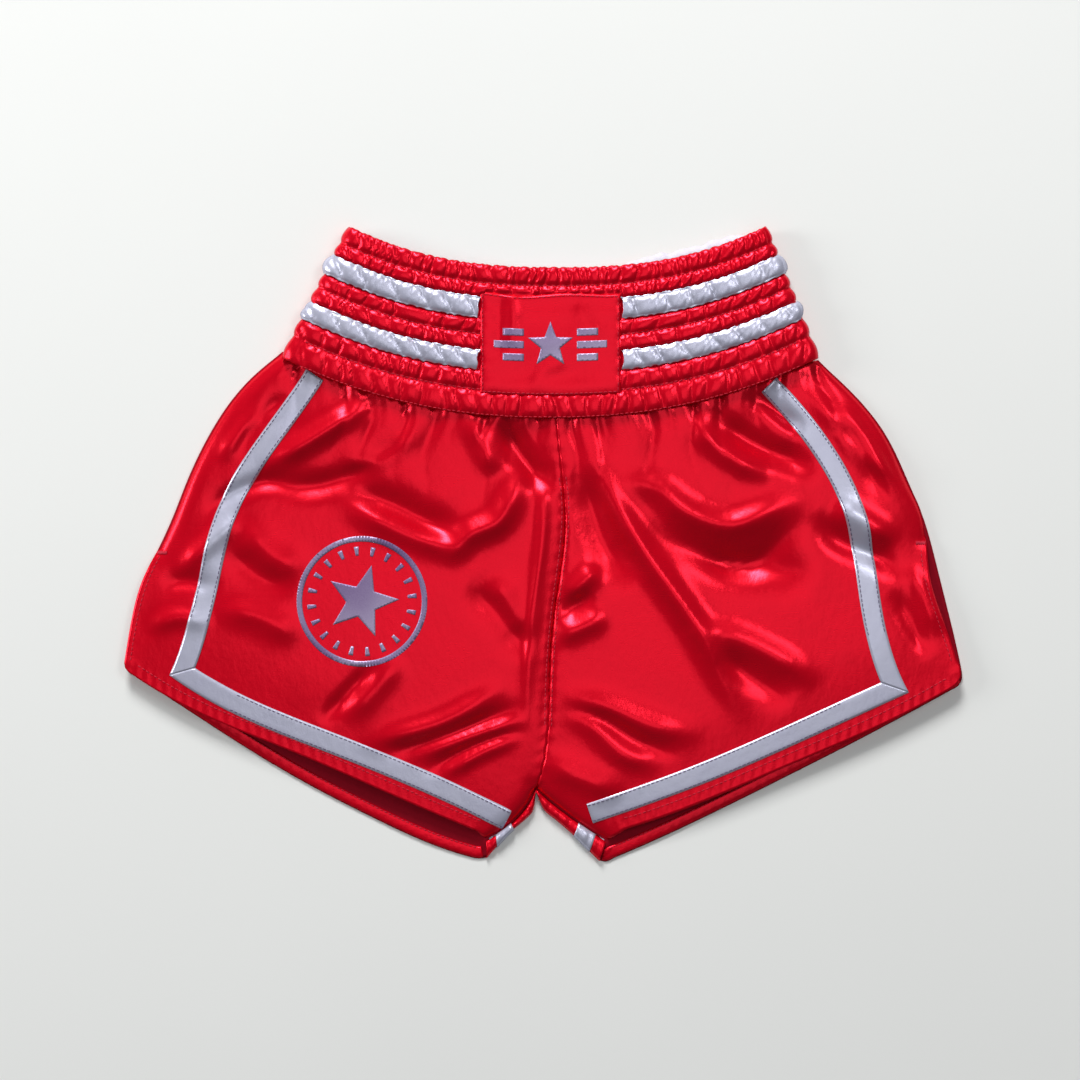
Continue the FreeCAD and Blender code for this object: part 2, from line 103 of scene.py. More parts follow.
class ShortsThread(bpy.types.PropertyGroup):
    """The stitches."""
    width: bpy.props.FloatProperty(
        name="Width", description="Width of the thread", default=0.62 * MM, unit="LENGTH")
    length: bpy.props.FloatProperty(
        name="Length", description="Length of one stitch", default=2.7 * MM, unit="LENGTH")
    gap: bpy.props.FloatProperty(
        name="Gap", description="Space between two stitches", default=0.75 * MM, unit="LENGTH")


def colour_property(name, description, default):
    return bpy.props.FloatVectorProperty(
        name=name, description=description, default=default, subtype="COLOR", size=3, min=0, max=1)


class ShortsColours(bpy.types.PropertyGroup):
    """The colours of the cloth, film and thread."""
    satin: colour_property("Satin", "Shell satin in the light", (0.80, 0.0, 0.014))
    satin_deep: colour_property("Satin, deep", "Shell satin between its threads", (0.58, 0.0, 0.009))
    # Painted shade: the wrong side's colour is far darker than the shell's, partly for the dull wrong side and
    # partly for the shade inside the leg openings.
    satin_back_in_painted_shade: colour_property("Satin, wrong side in painted shade", "Dull side of the shell satin, darkened as painted shade", (0.25, 0.0, 0.008))
    tape: colour_property("Tape", "Satin of the tapes", (0.56, 0.57, 0.68))
    tape_deep: colour_property("Tape, deep", "Tape between its threads", (0.42, 0.42, 0.55))
    lining: colour_property("Lining", "Plain cloth inside the band", (0.72, 0.69, 0.78))
    film_light: colour_property("Film, light", "Pale end of the printed film", (0.42, 0.36, 0.52))
    film_dark: colour_property("Film, dark", "Dark end of the printed film", (0.16, 0.10, 0.24))
    red_thread: colour_property("Red thread", "Thread in the satin", (0.60, 0.02, 0.05))
    dark_thread: colour_property("Dark thread", "Thread along the tapes", (0.13, 0.09, 0.17))
    elastic: colour_property("Elastic", "Braided elastic", (0.80, 0.80, 0.78))
    floor: colour_property("Floor", "The surface that the shorts lie on", (0.78, 0.79, 0.77))


# ------------------------------------------------------------------ shader arithmetic
class Reading:
    """A number read from a node, which takes part in arithmetic."""

    def __init__(self, finish, socket):
        self.finish = finish
        self.socket = socket

    def __add__(self, other):
        return self.finish.arithmetic("ADD", self, other)

    def __sub__(self, other):
        return self.finish.arithmetic("SUBTRACT", self, other)

    def __rsub__(self, other):
        return self.finish.arithmetic("SUBTRACT", other, self)

    def __mul__(self, other):
        return self.finish.arithmetic("MULTIPLY", self, other)

    def __pow__(self, other):
        return self.finish.arithmetic("POWER", self, other)

    __radd__ = __add__
    __rmul__ = __mul__


class Finish:
    """A material being drawn up."""

    def __init__(self, name):
        self.material = bpy.data.materials.new(name)
        self.material.use_nodes = True
        self.tree = self.material.node_tree
        self.tree.nodes.clear()

    def node(self, kind, settings=None, inputs=None):
        """Makes a node: its settings first, then the values or links of its sockets."""
        made = self.tree.nodes.new(kind)
        for name, value in (settings or {}).items():
            setattr(made, name, value)
        for name, value in (inputs or {}).items():
            socket = made.inputs[name]
            if isinstance(value, Reading):
                value = value.socket
            if isinstance(value, bpy.types.NodeSocket):
                self.tree.links.new(value, socket)
            elif hasattr(value, "__len__") and len(value) == 3 and socket.type == "RGBA":
                socket.default_value = (*value, 1.0)
            else:
                socket.default_value = value
        return made

    def reading(self, kind, settings=None, inputs=None, output=0):
        return Reading(self, self.node(kind, settings, inputs).outputs[output])

    def arithmetic(self, operation, first, second):
        return self.reading("ShaderNodeMath", {"operation": operation}, {0: first, 1: second})

    def place(self, scale=(1, 1, 1), turn=0.0):
        """The point in the garment, scaled, and turned about the upright."""
        where = self.node("ShaderNodeTexCoord").outputs["Object"]
        return self.node("ShaderNodeMapping", None, {
            "Vector": where, "Scale": scale, "Rotation": (0, 0, turn)}).outputs[0]

    def noise(self, scale, detail=2.0, stretch=(1, 1, 1), turn=0.0, roughness=0.5):
        return self.reading("ShaderNodeTexNoise", None, {
            "Vector": self.place(stretch, turn), "Scale": scale, "Detail": detail, "Roughness": roughness})

    def blend(self, share, first, second):
        """A colour between two colours."""
        mixed = self.node("ShaderNodeMix", {"data_type": "RGBA"}, {0: share, 6: first, 7: second})
        return mixed.outputs[2]

    def bump(self, height, distance, strength=1.0):
        return self.node("ShaderNodeBump", None, {
            "Height": height, "Distance": distance, "Strength": strength}).outputs[0]

    def surface(self, inputs):
        shader = self.node("ShaderNodeBsdfPrincipled", None, inputs)
        self.node("ShaderNodeOutputMaterial", None, {"Surface": shader.outputs[0]})
        return self.material


def satin(name, bright, deep, tint, gloss=0.25):
    """Satin: long floating threads that streak the light one way, with a slight crinkle."""
    finish = Finish(name)
    threads = finish.noise(1.0, 1.0, (260, 3200, 260), 0.12)
    slubs = finish.noise(1.0, 2.0, (22, 420, 22), 0.12)
    mottle = finish.noise(38.0, 2.0)
    crinkle = finish.noise(210.0, 3.0, (1, 0.6, 1), 0.4, 0.6)
    share = threads * 0.30 + slubs * 0.12 + mottle * 0.58
    height = threads * 0.08 + crinkle * 0.92
    return finish.surface({
        "Base Color": finish.blend(share, deep, bright),
        "Roughness": gloss + 0.03 * slubs + 0.08 * mottle,
        "Metallic": 0.45, "Specular IOR Level": 0.55, "Specular Tint": tint,
        "Normal": finish.bump(height, 0.35 * MM, 0.55)})


def plain_weave(name, colour, scale=1500.0):
    """Plain cloth: a fine basket of threads."""
    finish = Finish(name)
    warp = finish.noise(1.0, 1.0, (scale, scale / 6, scale))
    weft = finish.noise(1.0, 1.0, (scale / 6, scale, scale))
    mottle = finish.noise(45.0, 2.0)
    dark = tuple(channel * 0.72 for channel in colour)
    return finish.surface({
        "Base Color": finish.blend(warp * 0.4 + weft * 0.3 + mottle * 0.3, dark, colour),
        "Roughness": 0.72 + 0.12 * mottle,
        "Sheen Weight": 0.2,
        "Normal": finish.bump(warp + weft, 0.2 * MM, 0.6)})


def film(name, light, dark):
    """Transfer film: metallic, graded from dark to light across itself, with fine wear."""
    finish = Finish(name)
    grade = finish.noise(16.0, 1.0, (1, 0.7, 1), 0.6)
    grain = finish.noise(1400.0, 2.0)
    steep = finish.reading("ShaderNodeMapRange", None, {
        "Value": grade + 0.10 * grain, "From Min": 0.42, "From Max": 0.66})
    return finish.surface({
        "Base Color": finish.blend(steep, dark, light),
        "Roughness": 0.34 + 0.16 * grain, "Metallic": 0.35 + 0.25 * steep,
        "Coat Weight": 0.15, "Coat Roughness": 0.3,
        "Normal": finish.bump(grain, 0.08 * MM, 0.5)})


def thread(name, colour):
    finish = Finish(name)
    twist = finish.noise(1.0, 1.0, (2600, 2600, 900), 0.7)
    dark = tuple(channel * 0.6 for channel in colour)
    return finish.surface({
        "Base Color": finish.blend(twist, dark, colour),
        "Roughness": 0.5 + 0.2 * twist, "Specular IOR Level": 0.25,
        "Normal": finish.bump(twist, 0.15 * MM, 0.7)})


def braid(name, colour):
    """Braided elastic: narrow lengthwise ribs."""
    finish = Finish(name)
    ribs = finish.reading("ShaderNodeTexWave", {"bands_direction": "Y"}, {
        "Vector": finish.place(), "Scale": 260.0, "Distortion": 1.5, "Detail": 1.0}, 1)
    grain = finish.noise(900.0)
    dark = tuple(channel * 0.75 for channel in colour)
    return finish.surface({
        "Base Color": finish.blend(ribs * 0.6 + grain * 0.4, dark, colour),
        "Roughness": 0.6 + 0.15 * grain,
        "Normal": finish.bump(ribs, 0.3 * MM, 0.8)})


def matt_floor(name, colour):
    finish = Finish(name)
    mottle = finish.noise(3.0, 2.0)
    dark = tuple(channel * 0.96 for channel in colour)
    return finish.surface({
        "Base Color": finish.blend(mottle, dark, colour), "Roughness": 0.75 + 0.05 * mottle})


def finishes(context):
    """Every material, made once, by slot or by use."""
    colours = context.scene.shorts_colours
    made = bpy.data.materials
    if "shell satin" not in made:
        satin("shell satin", colours.satin, colours.satin_deep, (1.0, 0.36, 0.52), 0.21)
        satin("tape satin", colours.tape, colours.tape_deep, (0.85, 0.87, 1.0), 0.27)
        plain_weave("lining cloth", colours.lining)
        # The back panels' wrong side, its colour darkened as painted shade for the leg openings.
        satin("satin back in painted shade", colours.satin_back_in_painted_shade, colours.satin_back_in_painted_shade, (1.0, 0.3, 0.4), 0.6)
        film("print film", colours.film_light, colours.film_dark)
        thread("red thread", colours.red_thread)
        thread("dark thread", colours.dark_thread)
        braid("braided elastic", colours.elastic)
        matt_floor("pale floor", colours.floor)
    return made


# ------------------------------------------------------------------ outlines from the frame
def upper_faces(node):
    """The node's points with doubles merged, and its triangles that face up."""
    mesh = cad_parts[node].data
    mesh.calc_loop_triangles()
    places = np.array([vertex.co for vertex in mesh.vertices])
    keys = np.round(places / 1e-6).astype(np.int64)
    _, first, merged = np.unique(keys, axis=0, return_index=True, return_inverse=True)
    triangles = merged.reshape(-1)[np.array([t.vertices for t in mesh.loop_triangles])]
    places = places[first]
    a, b, c = (places[triangles[:, i]] for i in range(3))
    normal = np.cross(b - a, c - a)
    length = np.linalg.norm(normal, axis=1)
    return places, triangles[normal[:, 2] > 0.08 * np.maximum(length, 1e-15)]


def rings(node):
    """The node's outlines seen from above, each an anticlockwise ring of points, longest first."""
    places, triangles = upper_faces(node)
    edges = {(int(t[i]), int(t[(i + 1) % 3])) for t in triangles for i in range(3)}
    ahead = {}
    for a, b in sorted(edges):
        if (b, a) not in edges:
            ahead.setdefault(a, []).append(b)
    found = []
    while ahead:
        start = here = min(ahead, key=lambda i: places[i][0])
        way = (0.0, -1.0)
        ring = []
        while here in ahead:
            ring.append(here)
            after = min(ahead[here], key=lambda i: turn_between(way, places[i][:2] - places[here][:2]))
            ahead[here].remove(after)
            if not ahead[here]:
                del ahead[here]
            way = places[after][:2] - places[here][:2]
            here = after
            if here == start:
                break
        found.append(places[ring, :2])
    found = [ring for ring in found if enclosed(ring) > 0.1 * MM * length_of(ring)]
    return sorted(found, key=lambda ring: -length_of(np.vstack([ring, ring[:1]])))


def enclosed(ring):
    """The area in a ring, positive if it runs anticlockwise."""
    after = np.roll(ring, -1, axis=0)
    return 0.5 * float((ring[:, 0] * after[:, 1] - ring[:, 1] * after[:, 0]).sum())


def turn_between(way, after):
    """The left turn from one direction to another; a turn right round counts as left."""
    turn = math.atan2(way[0] * after[1] - way[1] * after[0], way[0] * after[0] + way[1] * after[1])
    return turn if turn > -3.1 else turn + 2 * math.pi


def length_of(run):
    return float(np.linalg.norm(np.diff(run, axis=0), axis=1).sum())


def spaced(run, shares):
    """Points at these shares of a run's length. A whole number gives that many equal steps."""
    if isinstance(shares, int):
        shares = np.linspace(0, 1, shares + 1)
    steps = np.concatenate([[0], np.cumsum(np.linalg.norm(np.diff(run, axis=0), axis=1))])
    at = np.asarray(shares) * steps[-1]
    return np.stack([np.interp(at, steps, run[:, axis]) for axis in range(run.shape[1])], axis=1)


def furthest(ring, way):
    return int(np.argmax(ring @ np.array(way, float)))


def cut_ring(ring, marks):
    """The ring cut into runs at these indices, which come in ring order."""
    runs = []
    for a, b in zip(marks, marks[1:] + marks[:1]):
        runs.append(ring[a:b + 1].copy() if a < b else np.vstack([ring[a:], ring[:b + 1]]))
    return runs


def sharpest(ring, count=4, reach=6.0 * MM):
    """The ring's sharpest corners, in ring order."""
    closed = np.vstack([ring, ring[:1]])
    whole = length_of(closed)
    fine = spaced(closed, int(whole / (0.5 * MM)))[:-1]
    step = max(1, int(reach / (0.5 * MM)))
    before, after = fine - np.roll(fine, step, axis=0), np.roll(fine, -step, axis=0) - fine
    turn = np.abs(np.arctan2(before[:, 0] * after[:, 1] - before[:, 1] * after[:, 0],
                             (before * after).sum(axis=1)))
    marks = []
    for index in np.argsort(-turn):
        apart = [min(abs(index - m), len(fine) - abs(index - m)) for m in marks]
        if all(gap > 2 * step for gap in apart):
            marks.append(int(index))
        if len(marks) == count:
            break
    return fine, sorted(marks)


def fair(run, degree=9):
    """The run without its small notches: a smooth curve between the same ends."""
    share = np.linspace(0, 1, len(run))
    curve = np.stack([np.polynomial.Chebyshev.fit(share, run[:, i], degree)(share) for i in (0, 1)], axis=1)
    gap = run - curve
    return curve + gap[0] * (1 - share[:, None]) + gap[-1] * share[:, None]


def strip_runs(ring, along, across, ways=None):
    """A strip's two long sides, as equal runs that go the same way, and its two ends.
    Its corners are its sharpest ones, or the furthest points in the ways given."""
    fine, marks = sharpest(ring)
    if ways is not None:
        marks = sorted(furthest(fine, way) for way in ways)
    sides = cut_ring(fine, marks)
    if length_of(sides[0]) < length_of(sides[1]):
        sides = sides[1:] + sides[:1]
    first, end, second, start = sides
    return (spaced(first, along), spaced(second[::-1], along),
            spaced(start[::-1], across), spaced(end, across))


def patchwork(top, bottom, left, right):
    """Points between four runs, as an array: along top and bottom, then down left and right."""
    u = np.linspace(0, 1, len(top))[:, None, None]
    v = np.linspace(0, 1, len(left))[None, :, None]
    between = (1 - v) * top[:, None] + v * bottom[:, None]
    beside = (1 - u) * left[None] + u * right[None]
    corners = ((1 - u) * (1 - v) * top[0] + u * (1 - v) * top[-1]
               + (1 - u) * v * bottom[0] + u * v * bottom[-1])
    return between + beside - corners


def grid_faces(columns, rows, first=0):
    """The faces of a grid of points whose second index runs fastest."""
    index = first + np.arange(columns * rows).reshape(columns, rows)
    return np.stack([index[:-1, :-1], index[1:, :-1], index[1:, 1:], index[:-1, 1:]], axis=-1).reshape(-1, 4)


def finer(grid, axes=(0, 1)):
    """The grid with a point between every two, on a smooth curve through its neighbours."""
    for axis in axes:
        grid = np.moveaxis(grid, axis, 0)
        before = np.concatenate([2 * grid[:1] - grid[1:2], grid[:-2]])
        after = np.concatenate([grid[2:], 2 * grid[-1:] - grid[-2:-1]])
        middle = (9 * (grid[:-1] + grid[1:]) - before - after) / 16
        made = np.empty((2 * len(grid) - 1, *grid.shape[1:]))
        made[::2], made[1::2] = grid, middle
        grid = np.moveaxis(made, 0, axis)
    return grid


# ------------------------------------------------------------------ cloth
class Cloth:
    """A sheet as a grid: where its points lie on the garment's plan, and where they are in space."""

    def __init__(self, plan, place):
        self.plan = plan
        self.place = place
        self.faces = grid_faces(*plan.shape[:2])
        a, b, _, d = (plan.reshape(-1, 2)[self.faces[:, i]] for i in range(4))
        if ((b - a)[:, 0] * (d - a)[:, 1] - (b - a)[:, 1] * (d - a)[:, 0]).sum() < 0:
            self.faces = self.faces[:, ::-1]
        self.tree = None

    def points(self):
        return self.place.reshape(-1, 3)

    def normals(self):
        points = self.points()
        a, b, c, d = (points[self.faces[:, i]] for i in range(4))
        face = np.cross(c - a, d - b)
        total = np.zeros_like(points)
        for i in range(4):
            np.add.at(total, self.faces[:, i], face)
        return total / np.maximum(np.linalg.norm(total, axis=1, keepdims=True), 1e-12)

    def lay(self, plan, lift):
        """Where points of the plan lie on the cloth, raised off it by lift."""
        if self.tree is None:
            flat = np.column_stack([self.plan.reshape(-1, 2), np.zeros(self.plan[..., 0].size)])
            self.triangles = np.vstack([self.faces[:, [0, 1, 2]], self.faces[:, [0, 2, 3]]])
            self.tree = BVHTree.FromPolygons(flat.tolist(), self.triangles.tolist())
            self.normal = self.normals()
        hits = [self.tree.find_nearest((x, y, 0.0)) for x, y in plan]
        corners = self.triangles[[hit[2] for hit in hits]]
        at = np.array([hit[0][:2] for hit in hits])
        a, b, c = (self.plan.reshape(-1, 2)[corners[:, i]] for i in range(3))
        ab, ac, ap = b - a, c - a, at - a
        area = ab[:, 0] * ac[:, 1] - ab[:, 1] * ac[:, 0]
        area = np.where(np.abs(area) < 1e-14, 1e-14, area)
        second = (ap[:, 0] * ac[:, 1] - ap[:, 1] * ac[:, 0]) / area
        third = (ab[:, 0] * ap[:, 1] - ab[:, 1] * ap[:, 0]) / area
        share = np.clip(np.stack([1 - second - third, second, third], axis=1), 0, 1)
        place = (self.points()[corners] * share[..., None]).sum(axis=1)
        normal = (self.normal[corners] * share[..., None]).sum(axis=1)
        normal /= np.linalg.norm(normal, axis=1, keepdims=True)
        return place + normal * np.reshape(lift, (-1, 1))


def area_of(points, faces):
    a, b, c, d = (points[faces[:, i]] for i in range(4))
    return float(0.5 * np.linalg.norm(np.cross(c - a, d - b), axis=1).sum())


def settle(context, start, faces, cut, pinned, frames, rise=0.0, bending=0.4, quality=6):
    """The cloth simulation: points that start here, cut to a larger pattern, find where they lie.
    rise is the pull upwards as a share of gravity, and 0 is none."""
    mesh = bpy.data.meshes.new("settling")
    mesh.from_pydata(start.tolist(), [], faces.tolist())
    piece = bpy.data.objects.new("settling", mesh)
    context.scene.collection.objects.link(piece)
    piece.shape_key_add(name="Basis")
    pattern = piece.shape_key_add(name="Cut")
    pattern.data.foreach_set("co", cut.ravel())
    group = piece.vertex_groups.new(name="pinned")
    for weight in np.unique(np.round(pinned, 2)):
        if weight > 0:
            group.add(np.flatnonzero(np.round(pinned, 2) == weight).tolist(), float(weight), "REPLACE")
    cloth = piece.modifiers.new("Cloth", "CLOTH")
    settings = cloth.settings
    settings.rest_shape_key = pattern
    settings.vertex_group_mass = "pinned"
    settings.quality = quality
    settings.mass = 0.15
    settings.tension_stiffness = settings.compression_stiffness = 12
    settings.shear_stiffness = 4
    settings.bending_stiffness = bending
    settings.air_damping = 3
    settings.effector_weights.gravity = abs(rise)
    cloth.collision_settings.use_collision = False
    cloth.point_cache.frame_start, cloth.point_cache.frame_end = 1, frames
    gravity = tuple(context.scene.gravity)
    context.scene.gravity = (0, 0, math.copysign(9.81, rise))
    for number in range(1, frames + 1):
        context.scene.frame_set(number)
    settled = piece.evaluated_get(context.evaluated_depsgraph_get()).to_mesh()
    found = np.array([vertex.co for vertex in settled.vertices])
    context.scene.gravity = gravity
    context.scene.frame_set(1)
    bpy.data.objects.remove(piece)
    return found


def nearest_on(runs, points):
    """The distance from each point to the runs, and how far along its run, 0 to 1, the nearest place is."""
    best = np.full(len(points), 1e9)
    along = np.zeros(len(points))
    for run in runs:
        total = length_of(run)
        gone = 0.0
        for a, b in zip(run[:-1], run[1:]):
            step = b - a
            size = float(np.hypot(*step))
            if size < 1e-9:
                continue
            share = np.clip(((points - a) @ step) / size ** 2, 0, 1)
            distance = np.linalg.norm(points - a - share[:, None] * step, axis=1)
            closer = distance < best
            best = np.where(closer, distance, best)
            along = np.where(closer, (gone + share * size) / total, along)
            gone += size
    return best, along


def smooth(share):
    share = np.clip(share, 0, 1)
    return share * share * (3 - 2 * share)


def curve_through(points, count=24):
    """A smooth run through a few given points, by Catmull and Rom's rule."""
    points = np.array(points, float)
    points = np.vstack([2 * points[0] - points[1], points, 2 * points[-1] - points[-2]])
    made = []
    for i in range(1, len(points) - 2):
        p0, p1, p2, p3 = points[i - 1:i + 3]
        for t in np.linspace(0, 1, max(2, count // (len(points) - 3)), endpoint=False):
            made.append(0.5 * (2 * p1 + (p2 - p0) * t + (2 * p0 - 5 * p1 + 4 * p2 - p3) * t ** 2
                               + (3 * p1 - p0 - 3 * p2 + p3) * t ** 3))
    return np.array(made + [points[-2]])


def folds(points, strokes, strength):
    """The height that the listed folds add: each is (height, width, points), all in millimetres."""
    height = np.zeros(len(points))
    for rise, width, stroke in strokes:
        run = curve_through(np.array(stroke) * MM)
        distance, along = nearest_on([run], points)
        taper = smooth(along / 0.34) * smooth((1 - along) / 0.34)
        reach = distance / (width * MM)
        crest = np.exp(-1.5 * np.sqrt(reach ** 2 + 0.06))
        height += rise * MM * strength * taper * (0.65 * np.exp(-reach ** 2) + 0.45 * crest)
    return height


def gathers(along, rng, narrow, wide, share=None):
    """Puffs between creases at uneven places along a run: 0 at a crease, up to 1 between two.
    share gives creases carried over from a neighbouring run; about half of them are kept."""
    creases = [along.min() - wide]
    while creases[-1] < along.max() + wide:
        creases.append(creases[-1] + rng.uniform(narrow, wide))
    if share is not None:
        kept = [c for c in share if rng.random() < 0.5]
        creases = sorted([c for c in creases if not kept or min(abs(c - k) for k in kept) > narrow] + kept)
    creases = np.array(creases)
    tall = rng.uniform(0.65, 1.0, len(creases))
    index = np.clip(np.searchsorted(creases, along) - 1, 0, len(creases) - 2)
    part = (along - creases[index]) / (creases[index + 1] - creases[index])
    puff = (1 - np.abs(2 * np.clip(part, 0, 1) - 1) ** 2.2) ** 0.75
    return puff * tall[index], creases


# ------------------------------------------------------------------ pieces
def piece_from(context, name, points, faces, material, nodes, thickness=0.0, inward=True):
    """A shown piece: it rides on the one body and stands for its CAD nodes."""
    mesh = bpy.data.meshes.new(name)
    mesh.from_pydata(np.asarray(points).tolist(), [], [tuple(int(i) for i in face) for face in faces])
    mesh.update()
    mesh.shade_smooth()
    mesh.materials.append(finishes(context)[material])
    piece = bpy.data.objects.new(name, mesh)
    context.scene.collection.objects.link(piece)
    if thickness:
        solid = piece.modifiers.new("Thickness", "SOLIDIFY")
        solid.thickness = thickness
        solid.offset = -1.0 if inward else 1.0
    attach(piece, "root")
    if nodes:
        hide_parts(*nodes)
    return piece


def declare(pattern, strip=False):
    """Works out the size and area that a sheet was cut to, from its pattern's grid of points; nothing takes them.
    """
    corners = pattern.reshape(-1, 2)
    if strip:
        size = (max(length_of(row) for row in pattern.swapaxes(0, 1)), max(length_of(row) for row in pattern))
    else:
        size = corners.max(axis=0) - corners.min(axis=0)
    flat = np.column_stack([corners, np.zeros(len(corners))])
    area = min(area_of(flat, grid_faces(*pattern.shape[:2])), float(size[0] * size[1]))


# Folds of the front, as (height, width, points): ridges are above 0 and valleys below.
RIGHT_FOLDS = (
    (5.0, 8, ((-207, 53), (-165, 77), (-118, 106))),
    (-4.0, 9, ((-212, 50), (-178, 42), (-145, 48), (-104, 71), (-80, 94))),
    (4.0, 8, ((-150, 60), (-120, 60), (-98, 76), (-88, 96))),
    (-5.0, 11, ((-150, 44), (-108, 28), (-84, 16), (-52, 4))),
    (4.5, 9, ((-150, 34), (-110, 14), (-80, 2), (-48, -8))),
    (5.0, 9, ((-72, -16), (-55, 6), (-30, 20), (-16, 58))),
    (-6.0, 9, ((-30, 94), (-18, 68), (8, 34))),
    (3.5, 8, ((-55, 96), (-44, 70), (-34, 48))),
    (3.0, 11, ((-222, 20), (-195, -8), (-165, -20))),
    (-2.5, 9, ((-230, 0), (-205, -22), (-176, -34))),
    (3.0, 10, ((-240, -44), (-205, -52), (-170, -70))),
    (-3.0, 6, ((-118, -84), (-138, -104), (-162, -130))),
    (2.5, 9, ((-100, -80), (-124, -106), (-144, -128))),
    (3.8, 8, ((-136, -144), (-74, -128), (-22, -98))),
    (-3.2, 6, ((-120, -150), (-70, -138), (-10, -112))),
    (3.4, 6, ((-104, -154), (-50, -136), (-6, -124))),
    (3.0, 5, ((-76, -168), (-48, -150), (-14, -136))),
    (-2.6, 5, ((-90, -166), (-50, -145), (-10, -130))),
    (-3.5, 10, ((-60, -30), (-34, -46), (-8, -84))),
    (3.0, 10, ((-40, -20), (-24, -50), (-10, -70))),
    (3.0, 7, ((-266, -22), (-242, 0), (-214, 24))),
    (-3.0, 7, ((-246, 18), (-226, 36), (-200, 46), (-176, 44))),
    (3.0, 7, ((-238, 58), (-216, 82), (-192, 104))),
    (-2.6, 6, ((-226, 62), (-206, 90), (-180, 112))),
    (2.4, 7, ((-288, -62), (-264, -52), (-236, -58))),
    (-2.4, 7, ((-278, -30), (-256, -26), (-232, -34))),
)
LEFT_FOLDS = (
    (6.5, 9, ((26, 84), (40, 52), (54, 24), (74, -8), (108, -56), (128, -94), (150, -136))),
    (-5.0, 13, ((24, 60), (34, 30), (44, 0), (66, -34))),
    (5.0, 10, ((42, 44), (78, 42), (102, 24), (134, 14), (168, 26), (196, 31))),
    (-4.5, 11, ((70, 20), (104, -2), (146, -14), (176, 8), (196, 24))),
    (-5.5, 9, ((116, 98), (150, 74), (184, 59), (202, 50))),
    (4.0, 8, ((100, 96), (130, 66), (166, 46))),
    (-4.0, 6, ((146, 114), (170, 95), (190, 80))),
    (4.0, 8, ((178, 122), (200, 99), (226, 68), (252, 46), (274, 12))),
    (-4.5, 9, ((194, 26), (212, 4), (242, -9), (260, -28))),
    (4.0, 9, ((205, 30), (228, 18), (254, 0))),
    (-4.0, 14, ((104, -8), (150, -16), (200, -20))),
    (4.5, 10, ((104, -54), (150, -72), (182, -90), (198, -104))),
    (-3.0, 9, ((120, -76), (150, -96), (180, -116))),
    (3.5, 9, ((6, -106), (42, -116), (78, -130), (118, -140))),
    (3.0, 7, ((10, -124), (32, -128), (56, -150), (86, -162))),
    (-3.0, 6, ((12, -116), (44, -126), (70, -142), (100, -152))),
    (3.6, 8, ((40, -14), (16, -40))),
    (3.2, 8, ((6, -68), (48, -50))),
    (-3.0, 8, ((10, -54), (36, -32))),
    (3.0, 10, ((-4, -150), (22, -166), (60, -180))),
    (3.0, 6, ((208, 108), (232, 78), (254, 44))),
    (-2.6, 6, ((200, 96), (224, 72), (248, 30))),
    (2.6, 6, ((262, -12), (274, -38), (286, -68))),
    (-2.4, 6, ((250, -30), (264, -56), (278, -84))),
)
SEAM_FOLDS = (
    (-1.6, 3, ((9, 92), (13, 50), (15, 13), (9, -36), (4, -90), (0, -146), (-6, -174))),
    (2.2, 4, ((-4, 88), (-2, 50), (-1, 13), (-6, -36), (-11, -90), (-14, -140))),
)


# The fold round each inner leg, seen from above, from the crotch to the hem, in millimetres.
INNER_FOLDS = {
    "right": ((-6, -179), (-7.5, -191), (-13, -198), (-25, -208), (-36, -220), (-41, -226)),
    "left": ((-5, -179), (0, -191), (10, -199.5), (22, -210), (33, -221), (40, -228)),
}


class PanelPlan:
    """One leg's front or back seen from above, cut into named sides, each from the waist or side inwards."""

    def __init__(self, node, right):
        ring = rings(node)[0]
        x = -1.0 if right else 1.0
        ways = {"waist_centre": (-x, 0.9), "waist_side": (0.2 * x, 1), "hem_side": (x, -0.4),
                "hem_inner": (-0.3 * x, -1), "crotch": (-x, -0.5)}
        order = ["waist_centre", "waist_side", "hem_side", "hem_inner", "crotch"]
        if not right:
            order = ["waist_side", "waist_centre", "crotch", "hem_inner", "hem_side"]
        runs = cut_ring(ring, [furthest(ring, ways[name]) for name in order])
        if right:
            self.waist, self.side, self.hem, inseam, centre = runs
            self.inseam, self.centre = inseam[::-1], centre[::-1]
        else:
            waist, self.centre, self.inseam, hem, side = runs
            self.waist, self.hem, self.side = waist[::-1], hem[::-1], side[::-1]
        self.ring = ring
        self.tuck(2.2 * MM, 8 * MM)

    def tuck(self, rise, reach):
        """Moves the waist edge up under the band, and the ends of its neighbours with it."""
        for run in (self.side, self.centre):
            gone = np.concatenate([[0], np.cumsum(np.linalg.norm(np.diff(run, axis=0), axis=1))])
            run[:, 1] += rise * np.exp(-gone / reach)
        self.waist = self.waist + [0, rise]


def panel_grid(plan, columns, rows, inseam_rows):
    """The plan's points: from the centre out, then from the waist down."""
    inner = np.vstack([spaced(plan.centre, rows - inseam_rows), spaced(plan.inseam, inseam_rows)[1:]])
    return patchwork(spaced(plan.waist, columns), spaced(plan.hem[::-1], columns), inner,
                     spaced(plan.side, rows))


